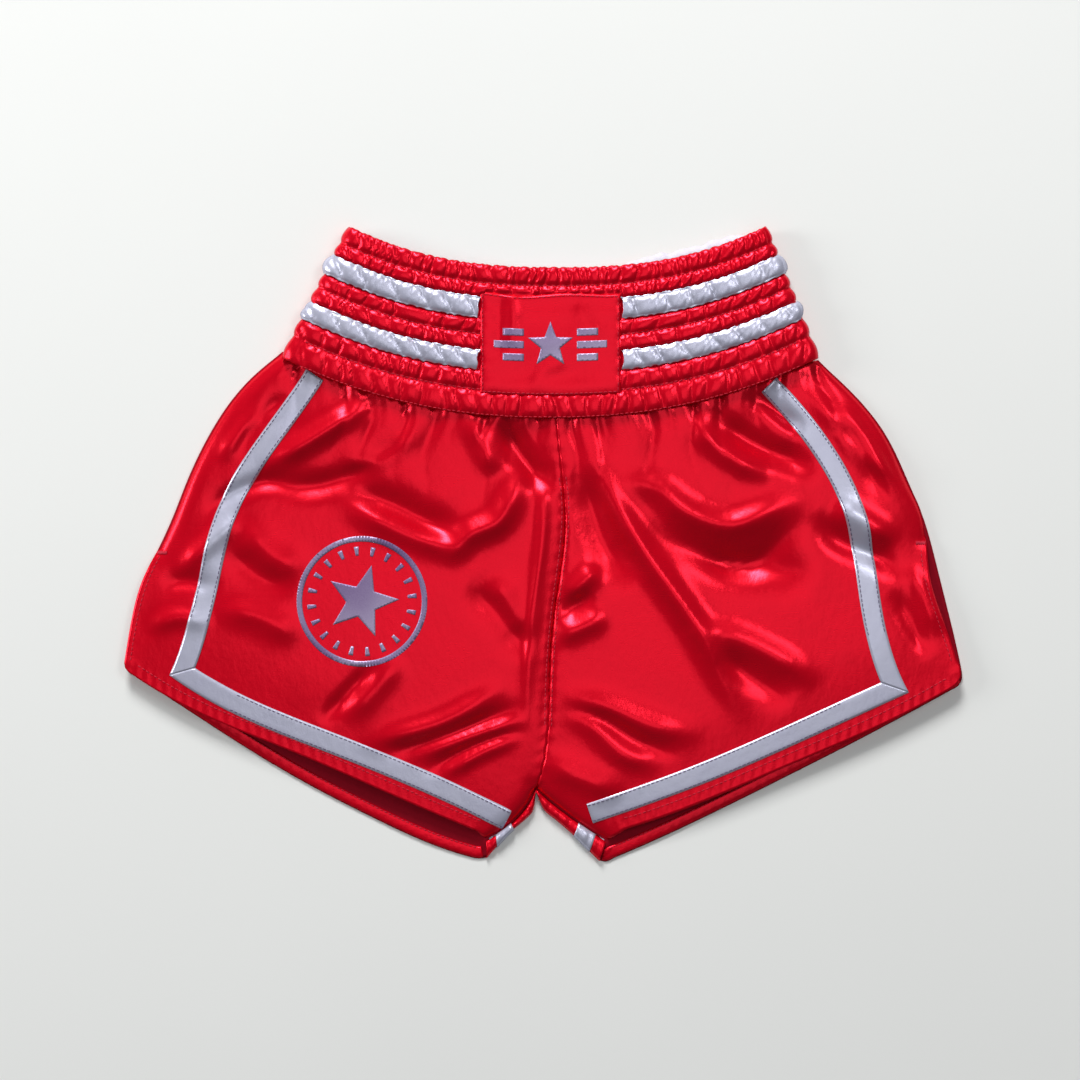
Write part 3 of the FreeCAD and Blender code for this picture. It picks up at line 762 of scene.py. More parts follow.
class SHORTS_OT_front(bpy.types.Operator):
    """Lay the two front panels, joined at the centre seam, in the folds that they fall in"""
    bl_idname = "shorts.front"
    bl_label = "Front panels"

    def execute(self, context):
        cloth = context.scene.shorts_cloth
        plans = [PanelPlan(f"front_panel_{hand}", hand == "right") for hand in SIDES]
        columns = int(length_of(plans[0].hem) / cloth.cell)
        inseam_rows = int(length_of(plans[0].inseam) / cloth.cell)
        rows = int(length_of(plans[0].centre) / cloth.cell) + inseam_rows
        grids = [panel_grid(plan, columns, rows, inseam_rows) for plan in plans]
        shape = grids[0].shape[:2]
        seam_rows = rows - inseam_rows + 1
        index = [np.arange(shape[0] * shape[1]).reshape(shape), None]
        index[1] = index[0] + shape[0] * shape[1] - seam_rows
        index[1][0, :seam_rows] = index[0][0, :seam_rows]
        index[1][0, seam_rows:] = np.arange(shape[1] - seam_rows) + shape[0] * shape[1]
        joined = np.zeros((index[1].max() + 1, 2))
        for numbers, grid in zip(index, grids):
            joined[numbers] = grid
        height = self.height(cloth, plans, joined)
        start = np.column_stack([joined, height])
        faces = np.vstack([np.stack([n[:-1, :-1], n[1:, :-1], n[1:, 1:], n[:-1, 1:]], axis=-1).reshape(-1, 4)
                           for n in index])
        cut = self.cut(cloth, joined)
        wider = joined + (cut - joined) * np.array([1.0, 0.5])
        pattern = np.column_stack([wider, height * 1.25])
        pinned = self.pinned(plans, joined)
        found = settle(context, start, faces, pattern, pinned, 40, 0.0, 0.25)
        found[:, 2] = np.clip(found[:, 2], 1.7 * MM + 0.4 * (height - 1.7 * MM), height + 5.0 * MM)
        self.pieces(context, cloth, plans, grids, index, found, cut)
        return {"FINISHED"}

    @staticmethod
    def height(cloth, plans, points):
        """Where the front lies before it settles: down at its closed edges, open at its hems."""
        tacks = [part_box(f"bar_tack_{hand}")[1].y for hand in SIDES]
        closed = []
        for plan, tack in zip(plans, tacks):
            closed += [plan.side[plan.side[:, 1] > tack], plan.inseam]
        edge, _ = nearest_on(closed, points)
        slit, _ = nearest_on([plan.side[plan.side[:, 1] < tack] for plan, tack in zip(plans, tacks)], points)
        hem, _ = nearest_on([plan.hem for plan in plans], points)
        waist, _ = nearest_on([plan.waist for plan in plans], points)
        roll = np.sqrt(1 - (1 - np.clip(edge / (13 * MM), 0, 1)) ** 2)
        crown = 0.55 + 0.45 * (1 - np.exp(-edge / (45 * MM)))
        open_edge = 0.80 + 0.20 * smooth(np.minimum(hem, slit * 1.5) / (60 * MM))
        height = 1.7 * MM + cloth.loft * roll * crown * open_edge
        bend = smooth(edge / (20 * MM)) * smooth((hem + 4 * MM) / (24 * MM))
        for strokes in (RIGHT_FOLDS, LEFT_FOLDS, SEAM_FOLDS):
            height += bend * folds(points, strokes, cloth.fold)
        rng = np.random.default_rng(11)
        waver = 2.5 * MM * np.sin(waist / (9 * MM) + points[:, 0] / (30 * MM))
        spread = points[:, 0] * (1 - 1.1 * waist) + waver
        fine, _ = gathers(spread, rng, 6 * MM, 15 * MM)
        broad, _ = gathers(spread, rng, 16 * MM, 38 * MM)
        near = (np.exp(-waist / (9 * MM)) * (fine - 0.5) * 3.2
                + np.exp(-waist / (26 * MM)) * (broad - 0.6) * 5.5)
        near *= smooth((waist + 1 * MM) / (6 * MM))
        height -= 0.9 * MM * np.exp(-waist / (3 * MM))
        return np.maximum(height + smooth(edge / (10 * MM)) * near * MM, 1.7 * MM)

    @staticmethod
    def cut(cloth, points):
        """The pattern: a little larger than the outline, and wider at the waist."""
        low, high = points[:, 1].min(), points[:, 1].max()
        near_waist = smooth((points[:, 1] - (high - 0.09)) / 0.07)
        wide = 1 + cloth.ease + cloth.waist_gather * near_waist
        return np.column_stack([points[:, 0] * wide, low + (points[:, 1] - low) * (1 + cloth.ease)])

    @staticmethod
    def pinned(plans, points):
        held = [plan.waist for plan in plans] + [plan.inseam for plan in plans]
        held += [plan.side for plan in plans]
        edge, _ = nearest_on(held, points)
        hem, _ = nearest_on([plan.hem for plan in plans], points)
        seam, _ = nearest_on([plans[0].centre], points)
        weight = np.where(edge < 1.5 * MM, 1.0, 0.0)
        weight = np.maximum(weight, 0.35 * np.exp(-hem / (5 * MM)))
        return np.maximum(weight, 0.04 + 0.10 * np.exp(-seam / (3 * MM)))

    @staticmethod
    def pieces(context, cloth, plans, grids, index, found, cut):
        for hand, plan, grid, numbers in zip(SIDES, plans, grids, index):
            fine_plan, fine_place = finer(grid), finer(found[numbers])
            flat = fine_plan.reshape(-1, 2)
            hem, along = nearest_on([plan.hem], flat)
            pucker = np.sin(along * length_of(plan.hem) / (4.2 * MM) * math.pi + hem / (3.0 * MM))
            wide = np.exp(-((hem - 5 * MM) / (4.5 * MM)) ** 2)
            seam, down = nearest_on([plan.centre], flat)
            ticks = np.sin(down * length_of(plan.centre) / (5.5 * MM) * math.pi)
            fine_place[..., 2] += (0.28 * MM * pucker * wide
                                   + 0.25 * MM * ticks * np.exp(-(seam / (5 * MM)) ** 2)
                                   ).reshape(fine_plan.shape[:2])
            sheet = Cloth(fine_plan, fine_place)
            cloths[f"front_{hand}"] = sheet
            piece = piece_from(context, f"front_panel_{hand}_cloth", sheet.points(), sheet.faces,
                               "shell satin", [f"front_panel_{hand}"], cloth.ply)
            declare(cut[numbers])


class SHORTS_OT_back(bpy.types.Operator):
    """Lay the two back panels under the front, with their hems and the turn round each inner leg"""
    bl_idname = "shorts.back"
    bl_label = "Back panels"

    def execute(self, context):
        cloth = context.scene.shorts_cloth
        for hand in SIDES:
            right = hand == "right"
            plan = PanelPlan(f"back_panel_{hand}", right)
            grid = panel_grid(plan, 90, 100, 12)
            points = grid.reshape(-1, 2)
            edge, _ = nearest_on([plan.side, plan.inseam], points)
            hem, along = nearest_on([plan.hem], points)
            rng = np.random.default_rng(3 if right else 4)
            waves = sum(rng.uniform(0.15, 0.4) * np.sin(points @ rng.uniform(-90, 90, 2) + rng.uniform(0, 6))
                        for _ in range(7))
            pucker = np.sin(along * length_of(plan.hem) / (4.4 * MM) * math.pi + hem / (3 * MM))
            height = 1.0 * MM + (0.35 + 0.3 * waves) * MM * smooth(edge / (12 * MM))
            height += 0.25 * MM * pucker * np.exp(-((hem - 5 * MM) / (4.5 * MM)) ** 2)
            height += 2.2 * MM * np.exp(-(edge / (5 * MM)) ** 2) * smooth(hem / (10 * MM))
            height = np.maximum(height, 1.1 * MM)
            sheet = Cloth(grid, np.column_stack([points, height]).reshape(*grid.shape[:2], 3))
            cloths[f"back_{hand}"] = sheet
            # The back panel's upper face shows the wrong side, darkened as painted shade inside the leg openings;
            # the solidified shell keeps the shell satin.
            piece = piece_from(context, f"back_panel_{hand}_cloth", sheet.points(), sheet.faces,
                               "satin back in painted shade", [f"back_panel_{hand}"], cloth.ply)
            piece.data.materials.append(finishes(context)["shell satin"])
            piece.modifiers["Thickness"].material_offset = 1
            turns = [self.hem_ply(context, cloth, plan, sheet, hand),
                     self.inner_turn(context, cloth, plan, sheet, hand)]
            declare(grid * (1 + cloth.ease))
        return {"FINISHED"}

    @staticmethod
    def hem_ply(context, cloth, plan, sheet, hand):
        """The turned-up ply of the hem, on the inside of the leg."""
        run = spaced(plan.hem, 150)
        ahead = np.gradient(run, axis=0)
        ahead /= np.linalg.norm(ahead, axis=1, keepdims=True)
        inward = np.stack([-ahead[:, 1], ahead[:, 0]], axis=1) * (1 if hand == "right" else -1)
        across = np.linspace(0.0004, cloth.hem_width, 6)
        grid = run[:, None] + inward[:, None] * across[None, :, None]
        lift = np.tile([0.0, 0.5, 0.65, 0.6, 0.6, 0.1], len(run)) * MM
        turn = Cloth(grid, sheet.lay(grid.reshape(-1, 2), lift).reshape(*grid.shape[:2], 3))
        return piece_from(context, f"back_hem_turn_{hand}_cloth", turn.points(), turn.faces, "shell satin",
                          [], 0.5 * cloth.ply)

    @staticmethod
    def inner_turn(context, cloth, plan, sheet, hand):
        """The strip of back cloth that turns up round the inner leg to the front's inseam."""
        inseam = PanelPlan(f"front_panel_{hand}", hand == "right").inseam
        count, across = 30, 12
        top = cloths[f"front_{hand}"].lay(spaced(inseam, count), 0.05 * MM)
        under = sheet.lay(spaced(plan.inseam, count), 0.0)
        fold = spaced(curve_through(np.array(INNER_FOLDS[hand]) * MM), count)
        fold = np.column_stack([fold, np.full(count + 1, 2.4 * MM)])
        half = np.linspace(0, 1, across // 2 + 1)[None, :, None]
        below = under[:, None] * (1 - half) + fold[:, None] * half
        above = fold[:, None] * (1 - half) + top[:, None] * half
        below[..., 2] = 0.6 * MM + (below[..., 2] - 0.6 * MM) * half[..., 0] ** 3
        above[..., 2] += 2.6 * MM * np.sin(np.pi * half[..., 0]) ** 0.7
        crease = 0.5 * MM * np.sin(np.arange(count + 1) * 1.5) + 0.3 * MM * np.sin(np.arange(count + 1) * 0.7)
        above[..., 2] += crease[:, None] * np.sin(np.pi * half[..., 0])
        strip = np.concatenate([below, above[:, 1:]], axis=1)
        turned = cloths[f"turn_{hand}"] = Cloth(strip[..., :2], strip)
        return piece_from(context, f"inner_leg_turn_{hand}_cloth", turned.points(), turned.faces,
                          "shell satin", [], cloth.ply)


def channel_edges():
    """The band's stitch lines as shares of its height, from its seam, 0, to its top, 1."""
    ring = rings("waistband_front")[0]
    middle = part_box("waist_patch")
    centre = 0.5 * (middle[0].x + middle[1].x)
    near = ring[np.abs(ring[:, 0] - centre) < 8 * MM]
    low, high = near[:, 1].min(), near[:, 1].max()
    lows = [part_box(node)[0].y for node in ELASTICS]
    inset = lows[0] - low
    return [(y - inset - low) / (high - low) for y in lows] + [1.0]


def band_plan(node, columns, shares):
    """The band's points seen from above: from the wearer's right to left, then from the seam up."""
    ring = rings(node)[0]
    marks = [furthest(ring, way) for way in ((1, -0.5), (1, 2), (-1, 2), (-1, -0.5))]
    right_end, top, left_end, bottom = cut_ring(ring, marks)
    return patchwork(spaced(bottom, columns), spaced(top[::-1], columns), spaced(left_end[::-1], shares),
                     spaced(right_end, shares))


def band_shares(edges, rows):
    """Places up the band, a given number to each channel, with one on each stitch line."""
    shares = [low + (high - low) * i / rows for low, high in zip(edges, edges[1:]) for i in range(rows)]
    return np.array(shares + [1.0])


class SHORTS_OT_waistband(bpy.types.Operator):
    """Gather the waistband's outer cloth, front and back, over its eight elastics"""
    bl_idname = "shorts.waistband"
    bl_label = "Waistband"

    def execute(self, context):
        self.wall(context, "front", 21)
        self.wall(context, "back", 22)
        return {"FINISHED"}

    def wall(self, context, side, seed):
        cloth = context.scene.shorts_cloth
        front = side == "front"
        edges = channel_edges()
        columns = 280 if front else 190
        plan = band_plan(f"waistband_{side}", columns, band_shares(edges, BAND_ROWS))
        rng = np.random.default_rng(seed)
        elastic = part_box(ELASTICS[0])
        middle = 0.5 * (elastic[0].z + elastic[1].z)
        sign = 1.0 if front else -1.0
        room = (elastic[1].z - middle) + cloth.ply + 0.1 * MM
        u = np.linspace(-1, 1, columns + 1)[:, None]
        turn = np.sqrt(1 - np.abs(u) ** 26)
        rows = np.arange(plan.shape[1]) % BAND_ROWS
        bed = room - np.where(rows == 0, 0.5, 0.0) * MM
        puff, pull = self.puffs(plan, edges, rng)
        tall = 1.0 if front else 0.45
        start = np.concatenate([plan, (middle + sign * turn * (bed + tall * puff * MM))[..., None]], axis=2)
        start[..., 1] += pull * 0.6 * MM
        self.bulge(start, puff, u, rows)
        if not front:
            start[..., 1] += peek(plan, 2.5)
        cut = np.stack([plan[..., 0] * cloth.band_gather, plan[..., 1] * 1.1], axis=2)
        flat = np.concatenate([cut, np.zeros_like(plan[..., :1])], axis=2).reshape(-1, 3)
        pinned = np.zeros(plan.shape[:2])
        pinned[:, ::BAND_ROWS] = 1.0
        pinned[[0, -1], :] = 1.0
        found = start
        if front:
            found = settle(context, start.reshape(-1, 3), grid_faces(*plan.shape[:2]), flat, pinned.ravel(),
                           22, 0.2, 0.1, 5).reshape(start.shape)
        top = np.full(plan.shape[:2], 4.6 if front else 2.0) * MM
        if front:
            low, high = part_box("waist_patch")
            inside = ((plan[..., 0] > low.x) & (plan[..., 0] < high.x)
                      & (plan[..., 1] > low.y) & (plan[..., 1] < high.y))
            top[inside] = 1.3 * MM
            striped = [row for channel in (2, 5)
                       for row in range(channel * BAND_ROWS, (channel + 1) * BAND_ROWS + 1)]
            beside = (plan[:, striped, 0] < low.x) | (plan[:, striped, 0] > high.x)
            top[:, striped] = np.where(beside, 0.3 * MM, top[:, striped])
        out = sign * (found[..., 2] - middle)
        found[..., 2] = middle + sign * np.clip(out, turn * bed, turn * (bed + top))
        fine = Cloth(finer(plan), finer(found))
        if not front:
            fine.faces = fine.faces[:, ::-1]
        cloths[f"band_{side}"] = fine
        piece = piece_from(context, f"waistband_{side}_cloth", fine.points(), fine.faces, "shell satin",
                           [f"waistband_{side}"], cloth.ply)
        declare(cut, True)

    @staticmethod
    def bulge(place, puff, u, rows):
        """Swells the band's outline: each channel bulges at the sides, and the top edge is scalloped."""
        arch = np.sin(np.pi * rows / BAND_ROWS)
        ends = np.abs(u) ** 30
        place[..., 0] += np.sign(u) * ends * (1.9 * arch - 0.4) * MM
        place[:, -1, 1] += 0.45 * MM * (puff[:, -3] - 1.5)
        place[:, -2, 1] += 0.3 * MM * (puff[:, -3] - 1.5)

    @staticmethod
    def puffs(plan, edges, rng):
        """How far each point stands out, in millimetres, and how far its stitch line is pulled aside."""
        puff = np.zeros(plan.shape[:2])
        creases = None
        widths = ((7, 16), (6, 14), (7, 13), (7, 15), (7, 16), (6, 12), (5, 11), (4.5, 9))
        across = np.linspace(0, 1, BAND_ROWS + 1)
        arch = np.sin(np.pi * np.clip(across, 0.02, 0.98)) ** 0.45
        for channel, (narrow, wide) in zip(range(len(edges) - 1), widths):
            rows = slice(channel * BAND_ROWS, (channel + 1) * BAND_ROWS + 1)
            tilt = rng.uniform(-3.0, 3.0) * MM
            phase = rng.uniform(0, 6)
            shaped = plan[:, rows, 0] + tilt * (across - 0.5) + 1.6 * MM * np.sin(
                across * 3.0 + plan[:, rows, 0] / (11 * MM) + phase)
            lump, creases = gathers(shaped, rng, narrow * MM, wide * MM, creases)
            small, _ = gathers(shaped, rng, 2.5 * MM, 5 * MM)
            puff[:, rows] = np.maximum(puff[:, rows], arch * (0.5 + 2.6 * lump + 0.6 * small * (1 - lump)))
        pull = np.zeros(plan.shape[:2])
        for row in range(0, plan.shape[1], BAND_ROWS):
            lump, _ = gathers(plan[:, row, 0], rng, 3.5 * MM, 7 * MM)
            puff[:, row] = 1.3 * lump
            pull[:, row] = lump - 0.5
        return puff, pull


def peek(plan, rise):
    """How far the back wall stands up past the front's top edge, left of the middle: up to rise, in mm."""
    x = plan[..., 0] / MM
    window = smooth((x - 40) / 40) * smooth((152 - x) / 20)
    climb = np.linspace(0, 1, plan.shape[1]) ** 3
    ripple = 0.6 * np.sin(x / 3.1) + 0.5 * np.sin(x / 1.9 + 1)
    return (rise + ripple) * MM * window * climb


class SHORTS_OT_lining(bpy.types.Operator):
    """Lay the band's inner cloth behind the elastics"""
    bl_idname = "shorts.lining"
    bl_label = "Waistband lining"

    def execute(self, context):
        cloth = context.scene.shorts_cloth
        edges = channel_edges()
        for side, seed in (("front", 31), ("back", 32)):
            node = f"waistband_lining_{side}"
            plan = band_plan(node, 200, band_shares(edges, 3))
            low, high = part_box(node)
            level = 0.5 * (low.z + high.z)
            along = plan[..., 0] + 0.15 * plan[..., 1]
            lump, _ = gathers(along, np.random.default_rng(seed), 4 * MM, 10 * MM)
            sign = -1.0 if side == "front" else 1.0
            height = level + sign * 0.9 * MM * (lump - 0.3)
            place = np.concatenate([plan, height[..., None]], axis=2)
            if side == "back":
                place[..., 1] += peek(plan, 7.0)
            sheet = Cloth(plan, place)
            cut = np.stack([plan[..., 0] * cloth.band_gather * 0.75, plan[..., 1]], axis=2)
            piece = piece_from(context, f"waistband_lining_{side}_cloth", sheet.points(), sheet.faces,
                               "lining cloth", [node], cloth.ply)
            declare(cut, True)
        return {"FINISHED"}


class SHORTS_OT_elastics(bpy.types.Operator):
    """Thread a flat braided elastic through each channel of the band"""
    bl_idname = "shorts.elastics"
    bl_label = "Elastics"

    def execute(self, context):
        for node in ELASTICS:
            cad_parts[node].data.materials.clear()
            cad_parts[node].data.materials.append(finishes(context)["braided elastic"])
        return {"FINISHED"}


class SHORTS_OT_stripes(bpy.types.Operator):
    """Gather the pale stripes over the third and sixth channels, front and back"""
    bl_idname = "shorts.stripes"
    bl_label = "Waist stripes"

    def execute(self, context):
        names = [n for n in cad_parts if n.startswith("waist_stripe")]
        for seed, node in enumerate(sorted(names)):
            self.stripe(context, node, 40 + seed)
        return {"FINISHED"}

    @staticmethod
    def stripe(context, node, seed):
        cloth = context.scene.shorts_cloth
        rng = np.random.default_rng(seed)
        front = not node.endswith("back")
        columns = 90 if front else 230
        first, second, _, _ = strip_runs(rings(node)[0], columns, 12)
        if front:
            first, second = (reaching_out(run, 8.5 * MM) for run in (first, second))
        share = np.linspace(-0.15, 1.15, 11)[None, :, None] if front else np.linspace(0, 1, 9)[None, :, None]
        plan = first[:, None] * (1 - share) + second[:, None] * share
        across = np.linspace(0, 1, plan.shape[1])
        x = plan[..., 0]
        lean = rng.uniform(0.6, 1.1) * rng.choice([-1, 1]) * 10 * MM
        bend = 2.0 * MM * np.sin(x / (13 * MM) + rng.uniform(0, 6))
        lump, _ = gathers(x + lean * (across - 0.5) + bend, rng, 12 * MM, 24 * MM)
        fine, _ = gathers(x - 0.7 * lean * across, rng, 4.5 * MM, 9 * MM)
        arch = np.sin(np.pi * np.clip(across, 0.02, 0.98)) ** 0.5
        puff = arch * (0.3 + 2.3 * lump + 0.6 * fine * (1 - 0.5 * lump))
        band = cloths["band_front" if front else "band_back"]
        bed = band.lay(plan.reshape(-1, 2), 1.5 * cloth.ply).reshape(*plan.shape[:2], 3)
        start = band.lay(plan.reshape(-1, 2), (1.5 * cloth.ply + (1.0 if front else 0.1) * puff * MM).ravel())
        start = start.reshape(bed.shape)
        start[..., 1] += (fine - 0.5) * 1.1 * MM * np.where(np.abs(across - 0.5) > 0.42, 1.0, 0.3)
        cut = np.stack([plan[..., 0] * 1.18, plan[..., 1] * 1.06], axis=2)
        flat = np.concatenate([cut, np.zeros_like(plan[..., :1])], axis=2).reshape(-1, 3)
        pinned = np.zeros(plan.shape[:2])
        pinned[:, [0, -1]] = 1.0
        pinned[[0, -1], :] = 1.0
        found = start
        if front:
            found = settle(context, start.reshape(-1, 3), grid_faces(*plan.shape[:2]), flat,
                           pinned.ravel(), 16, 0.2, 1.2, 5).reshape(start.shape)
            found[..., 2] = np.clip(found[..., 2], bed[..., 2], bed[..., 2] + 3.1 * MM)
        else:
            found[..., 2] = np.maximum(found[..., 2], 0.1 * MM)
        sheet = Cloth(finer(plan), finer(found))
        if not front:
            sheet.faces = sheet.faces[:, ::-1]
        cloths[node] = sheet
        piece = piece_from(context, f"{node}_cloth", sheet.points(), sheet.faces, "tape satin",
                           [node], cloth.ply)
        declare(cut, True)


def reaching_out(run, more):
    """The run carried on past its outer end, round the side of the band."""
    flip = abs(run[0][0]) > abs(run[-1][0])
    run = run[::-1] if flip else run
    ahead = (run[-1] - run[-5]) / np.linalg.norm(run[-1] - run[-5])
    run = np.vstack([run, run[-1] + ahead * np.linspace(0, more, 6)[1:, None]])
    return run[::-1] if flip else run


PATCH_FOLDS = (
    (1.6, 5, ((-24, 188), (-22, 165), (-25, 140))),
    (-1.2, 5, ((-33, 186), (-32, 160), (-33, 130))),
    (0.9, 9, ((-40, 150), (0, 146), (50, 152))),
    (-0.9, 10, ((-40, 128), (5, 124), (50, 130))),
    (1.0, 7, ((-12, 112), (2, 128), (20, 136))),
    (0.8, 6, ((24, 178), (30, 160), (44, 150))),
)


class SHORTS_OT_patch(bpy.types.Operator):
    """Sew the flat satin patch over the middle of the band"""
    bl_idname = "shorts.patch"
    bl_label = "Waist patch"

    def execute(self, context):
        cloth = context.scene.shorts_cloth
        first, second, start, end = strip_runs(rings("waist_patch")[0], 60, 46)
        plan = patchwork(first, second, start, end)
        points = plan.reshape(-1, 2)
        low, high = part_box("waist_patch")
        edge = np.minimum.reduce([points[:, 0] - low.x, high.x - points[:, 0],
                                  points[:, 1] - low.y, high.y - points[:, 1]])
        bow = (points[:, 0] - 0.5 * (low.x + high.x)) / (high.x - low.x) * 2
        place = np.column_stack([points, np.zeros(len(points))])
        place[:, 1] += -1.8 * MM * (1 - bow ** 2) + 1.2 * MM * np.sin(points[:, 0] / (11 * MM)) * np.exp(
            -(high.y - points[:, 1]) / (9 * MM))
        height = high.z + 0.6 * MM + folds(points, PATCH_FOLDS, 1.0) - 1.0 * MM * np.exp(-edge / (2.5 * MM))
        place[:, 2] = height + 0.3 * MM * np.sin(points[:, 1] / (2.0 * MM)) * np.exp(-edge / (8 * MM))
        sheet = Cloth(plan, place.reshape(*plan.shape[:2], 3))
        cloths["patch"] = sheet
        piece = piece_from(context, "waist_patch_cloth", sheet.points(), sheet.faces, "shell satin",
                           ["waist_patch"], cloth.ply)
        declare(plan * 1.02)
        return {"FINISHED"}


class SHORTS_OT_tapes(bpy.types.Operator):
    """Lay the side tapes and hem tapes on the panels, front and back"""
    bl_idname = "shorts.tapes"
    bl_label = "Tapes"

    def execute(self, context):
        cloth = context.scene.shorts_cloth
        for hand in SIDES:
            turn = self.wrap(context, cloth, hand)
            for part in ("side", "hem"):
                for face in ("front", "back"):
                    ends = [turn] if (part, face) == ("hem", "front") else []
                    self.tape(context, cloth, f"{part}_tape_{face}_{hand}", f"{face}_{hand}",
                              face == "front", ends)
        return {"FINISHED"}

    @staticmethod
    def wrap(context, cloth, hand):
        """The hem tape where it turns round the inner leg from the front to the back."""
        turned = cloths[f"turn_{hand}"]
        whole = length_of(turned.plan[:, -1])
        width = 15 * MM
        first = 1 - (cloth.hem_width + width) / whole
        normal = turned.normals().reshape(turned.place.shape)
        outward = 1.0 if normal[:, -4:, 2].mean() > 0 else -1.0
        raised = turned.place + 1.3 * cloth.ply * outward * normal
        raised[..., 2] = np.maximum(raised[..., 2], cloth.ply + 0.05 * MM)
        at = np.linspace(first, first + width / whole, 9) * (len(raised) - 1)
        low = np.minimum(at.astype(int), len(raised) - 2)
        share = (at - low)[:, None, None]
        plan = turned.plan[low] * (1 - share) + turned.plan[low + 1] * share
        sheet = Cloth(plan, raised[low] * (1 - share) + raised[low + 1] * share)
        return piece_from(context, f"hem_tape_turn_{hand}_cloth", sheet.points(), sheet.faces, "tape satin",
                          [], cloth.ply)

    @staticmethod
    def tape(context, cloth, node, under, front, ends):
        outward = -1 if node.endswith("right") else 1
        ways = ((outward, -0.2), (-0.1 * outward, 1), (-outward, 0.2), (-0.1 * outward, -1))
        first, second, start, end = strip_runs(rings(node)[0], 130, 8, ways if "hem" in node else None)
        plan = patchwork(fair(first), fair(second), start, end)
        lift = cloth.ply if front else -2 * cloth.ply
        across = np.linspace(0, 1, plan.shape[1])
        edge = np.minimum(across, 1 - across) * 2
        crown = np.tile(0.25 * MM * smooth(edge * 3), plan.shape[0]) * (1 if front else -1)
        points = cloths[under].lay(plan.reshape(-1, 2), lift + crown)
        sheet = Cloth(plan, points.reshape(*plan.shape[:2], 3))
        if not front:
            sheet.faces = sheet.faces[:, ::-1]
        cloths[node] = sheet
        piece = piece_from(context, f"{node}_cloth", sheet.points(), sheet.faces, "tape satin",
                           [node], cloth.ply)
        declare(plan, True)


def refined(node, longest):
    """The node's upper faces, split until no edge is long, as plan points and triangles."""
    places, triangles = upper_faces(node)
    mesh = bmesh.new()
    made = [mesh.verts.new((x, y, 0)) for x, y, _ in places]
    for triangle in triangles:
        mesh.faces.new([made[i] for i in triangle])
    for _ in range(7):
        long = [edge for edge in mesh.edges if edge.calc_length() > longest]
        if not long:
            break
        bmesh.ops.subdivide_edges(mesh, edges=long, cuts=1)
        bmesh.ops.triangulate(mesh, faces=[face for face in mesh.faces if len(face.verts) > 3])
    loose = [vertex for vertex in mesh.verts if not vertex.link_faces]
    bmesh.ops.delete(mesh, geom=loose, context="VERTS")
    mesh.verts.index_update()
    points = np.array([vertex.co[:2] for vertex in mesh.verts])
    faces = [[vertex.index for vertex in face.verts] for face in mesh.faces]
    mesh.free()
    return points, faces


class SHORTS_OT_prints(bpy.types.Operator):
    """Press the star badge on the right leg and the star with bars on the patch"""
    bl_idname = "shorts.prints"
    bl_label = "Prints"

    def execute(self, context):
        for node, under in (("leg_print", "front_right"), ("patch_print", "patch")):
            points, faces = refined(node, 2.2 * MM)
            laid = cloths[under].lay(points, 0.22 * MM)
            piece_from(context, f"{node}_film", laid, faces, "print film", [node], 0.1 * MM)
        return {"FINISHED"}


# ------------------------------------------------------------------ stitches
def stitched(run, thread_size):
    """Places along a run for stitches: each stitch's start and end as shares of the run."""
    pitch = thread_size.length + thread_size.gap
    count = max(1, int(length_of(run) / pitch))
    starts = np.arange(count) / count
    return starts, starts + thread_size.length / pitch / count


def stitch_mesh(paths, width):
    """One mesh of many stitches. Each path is a stitch's five points, with the normal there."""
    points, faces = [], []
    swell = (0.35, 0.9, 1.0, 0.9, 0.35)
    around = [(math.cos(a), math.sin(a)) for a in np.linspace(0, 2 * math.pi, 6, endpoint=False)]
    for path, normal in paths:
        ahead = path[-1] - path[0]
        ahead = ahead / max(np.linalg.norm(ahead), 1e-9)
        side = np.cross(normal, ahead)
        side /= max(np.linalg.norm(side), 1e-9)
        first = len(points)
        for place, size in zip(path, swell):
            for c, s in around:
                points.append(place + side * (0.5 * width * size * c) + normal * (0.42 * width * size * s))
        for ring in range(4):
            for i in range(6):
                j = (i + 1) % 6
                a = first + ring * 6
                faces.append((a + i, a + j, a + 6 + j, a + 6 + i))
        faces.append(tuple(first + i for i in range(5, -1, -1)))
        faces.append(tuple(first + 24 + i for i in range(6)))
    return np.array(points), faces


def row_of_stitches(run, under, thread_size, lift, rng):
    """The stitches of one row along a run of the plan, on the sheet under it."""
    starts, ends = stitched(run, thread_size)
    shares = np.stack([starts + (ends - starts) * t for t in (0, 0.2, 0.5, 0.8, 1)], axis=1)
    plan = spaced(run, shares.ravel())
    plan += rng.normal(0, 0.05 * MM, plan.shape)
    sunk = np.tile([-0.25, 0.02, 0.1, 0.02, -0.25], len(starts)) * thread_size.width
    low = under.lay(plan, lift + sunk).reshape(len(starts), 5, 3)
    high = under.lay(plan[2::5], lift + 1 * MM)
    normal = high - low[:, 2]
    normal /= np.maximum(np.linalg.norm(normal, axis=1, keepdims=True), 1e-9)
    return list(zip(low, normal))


def middle_run(ring, count=80):
    """The middle line of a thin strip, between its points that are furthest apart."""
    closed = np.vstack([ring, ring[:1]])
    fine = spaced(closed, 400)[:-1]
    apart = np.linalg.norm(fine[:, None] - fine[None], axis=2)
    marks = sorted(int(i) for i in np.unravel_index(np.argmax(apart), apart.shape))
    first, second = cut_ring(fine, marks)
    return 0.5 * (spaced(first, count) + spaced(second[::-1], count))


def sheet_under(run, names):
    """The named sheet whose plan holds the run's middle."""
    middle = run[len(run) // 2]
    best = None
    for name in names:
        plan = cloths[name].plan.reshape(-1, 2)
        gap = np.linalg.norm(plan - middle, axis=1).min()
        if best is None or gap < best[0]:
            best = (gap, name)
    return cloths[best[1]]


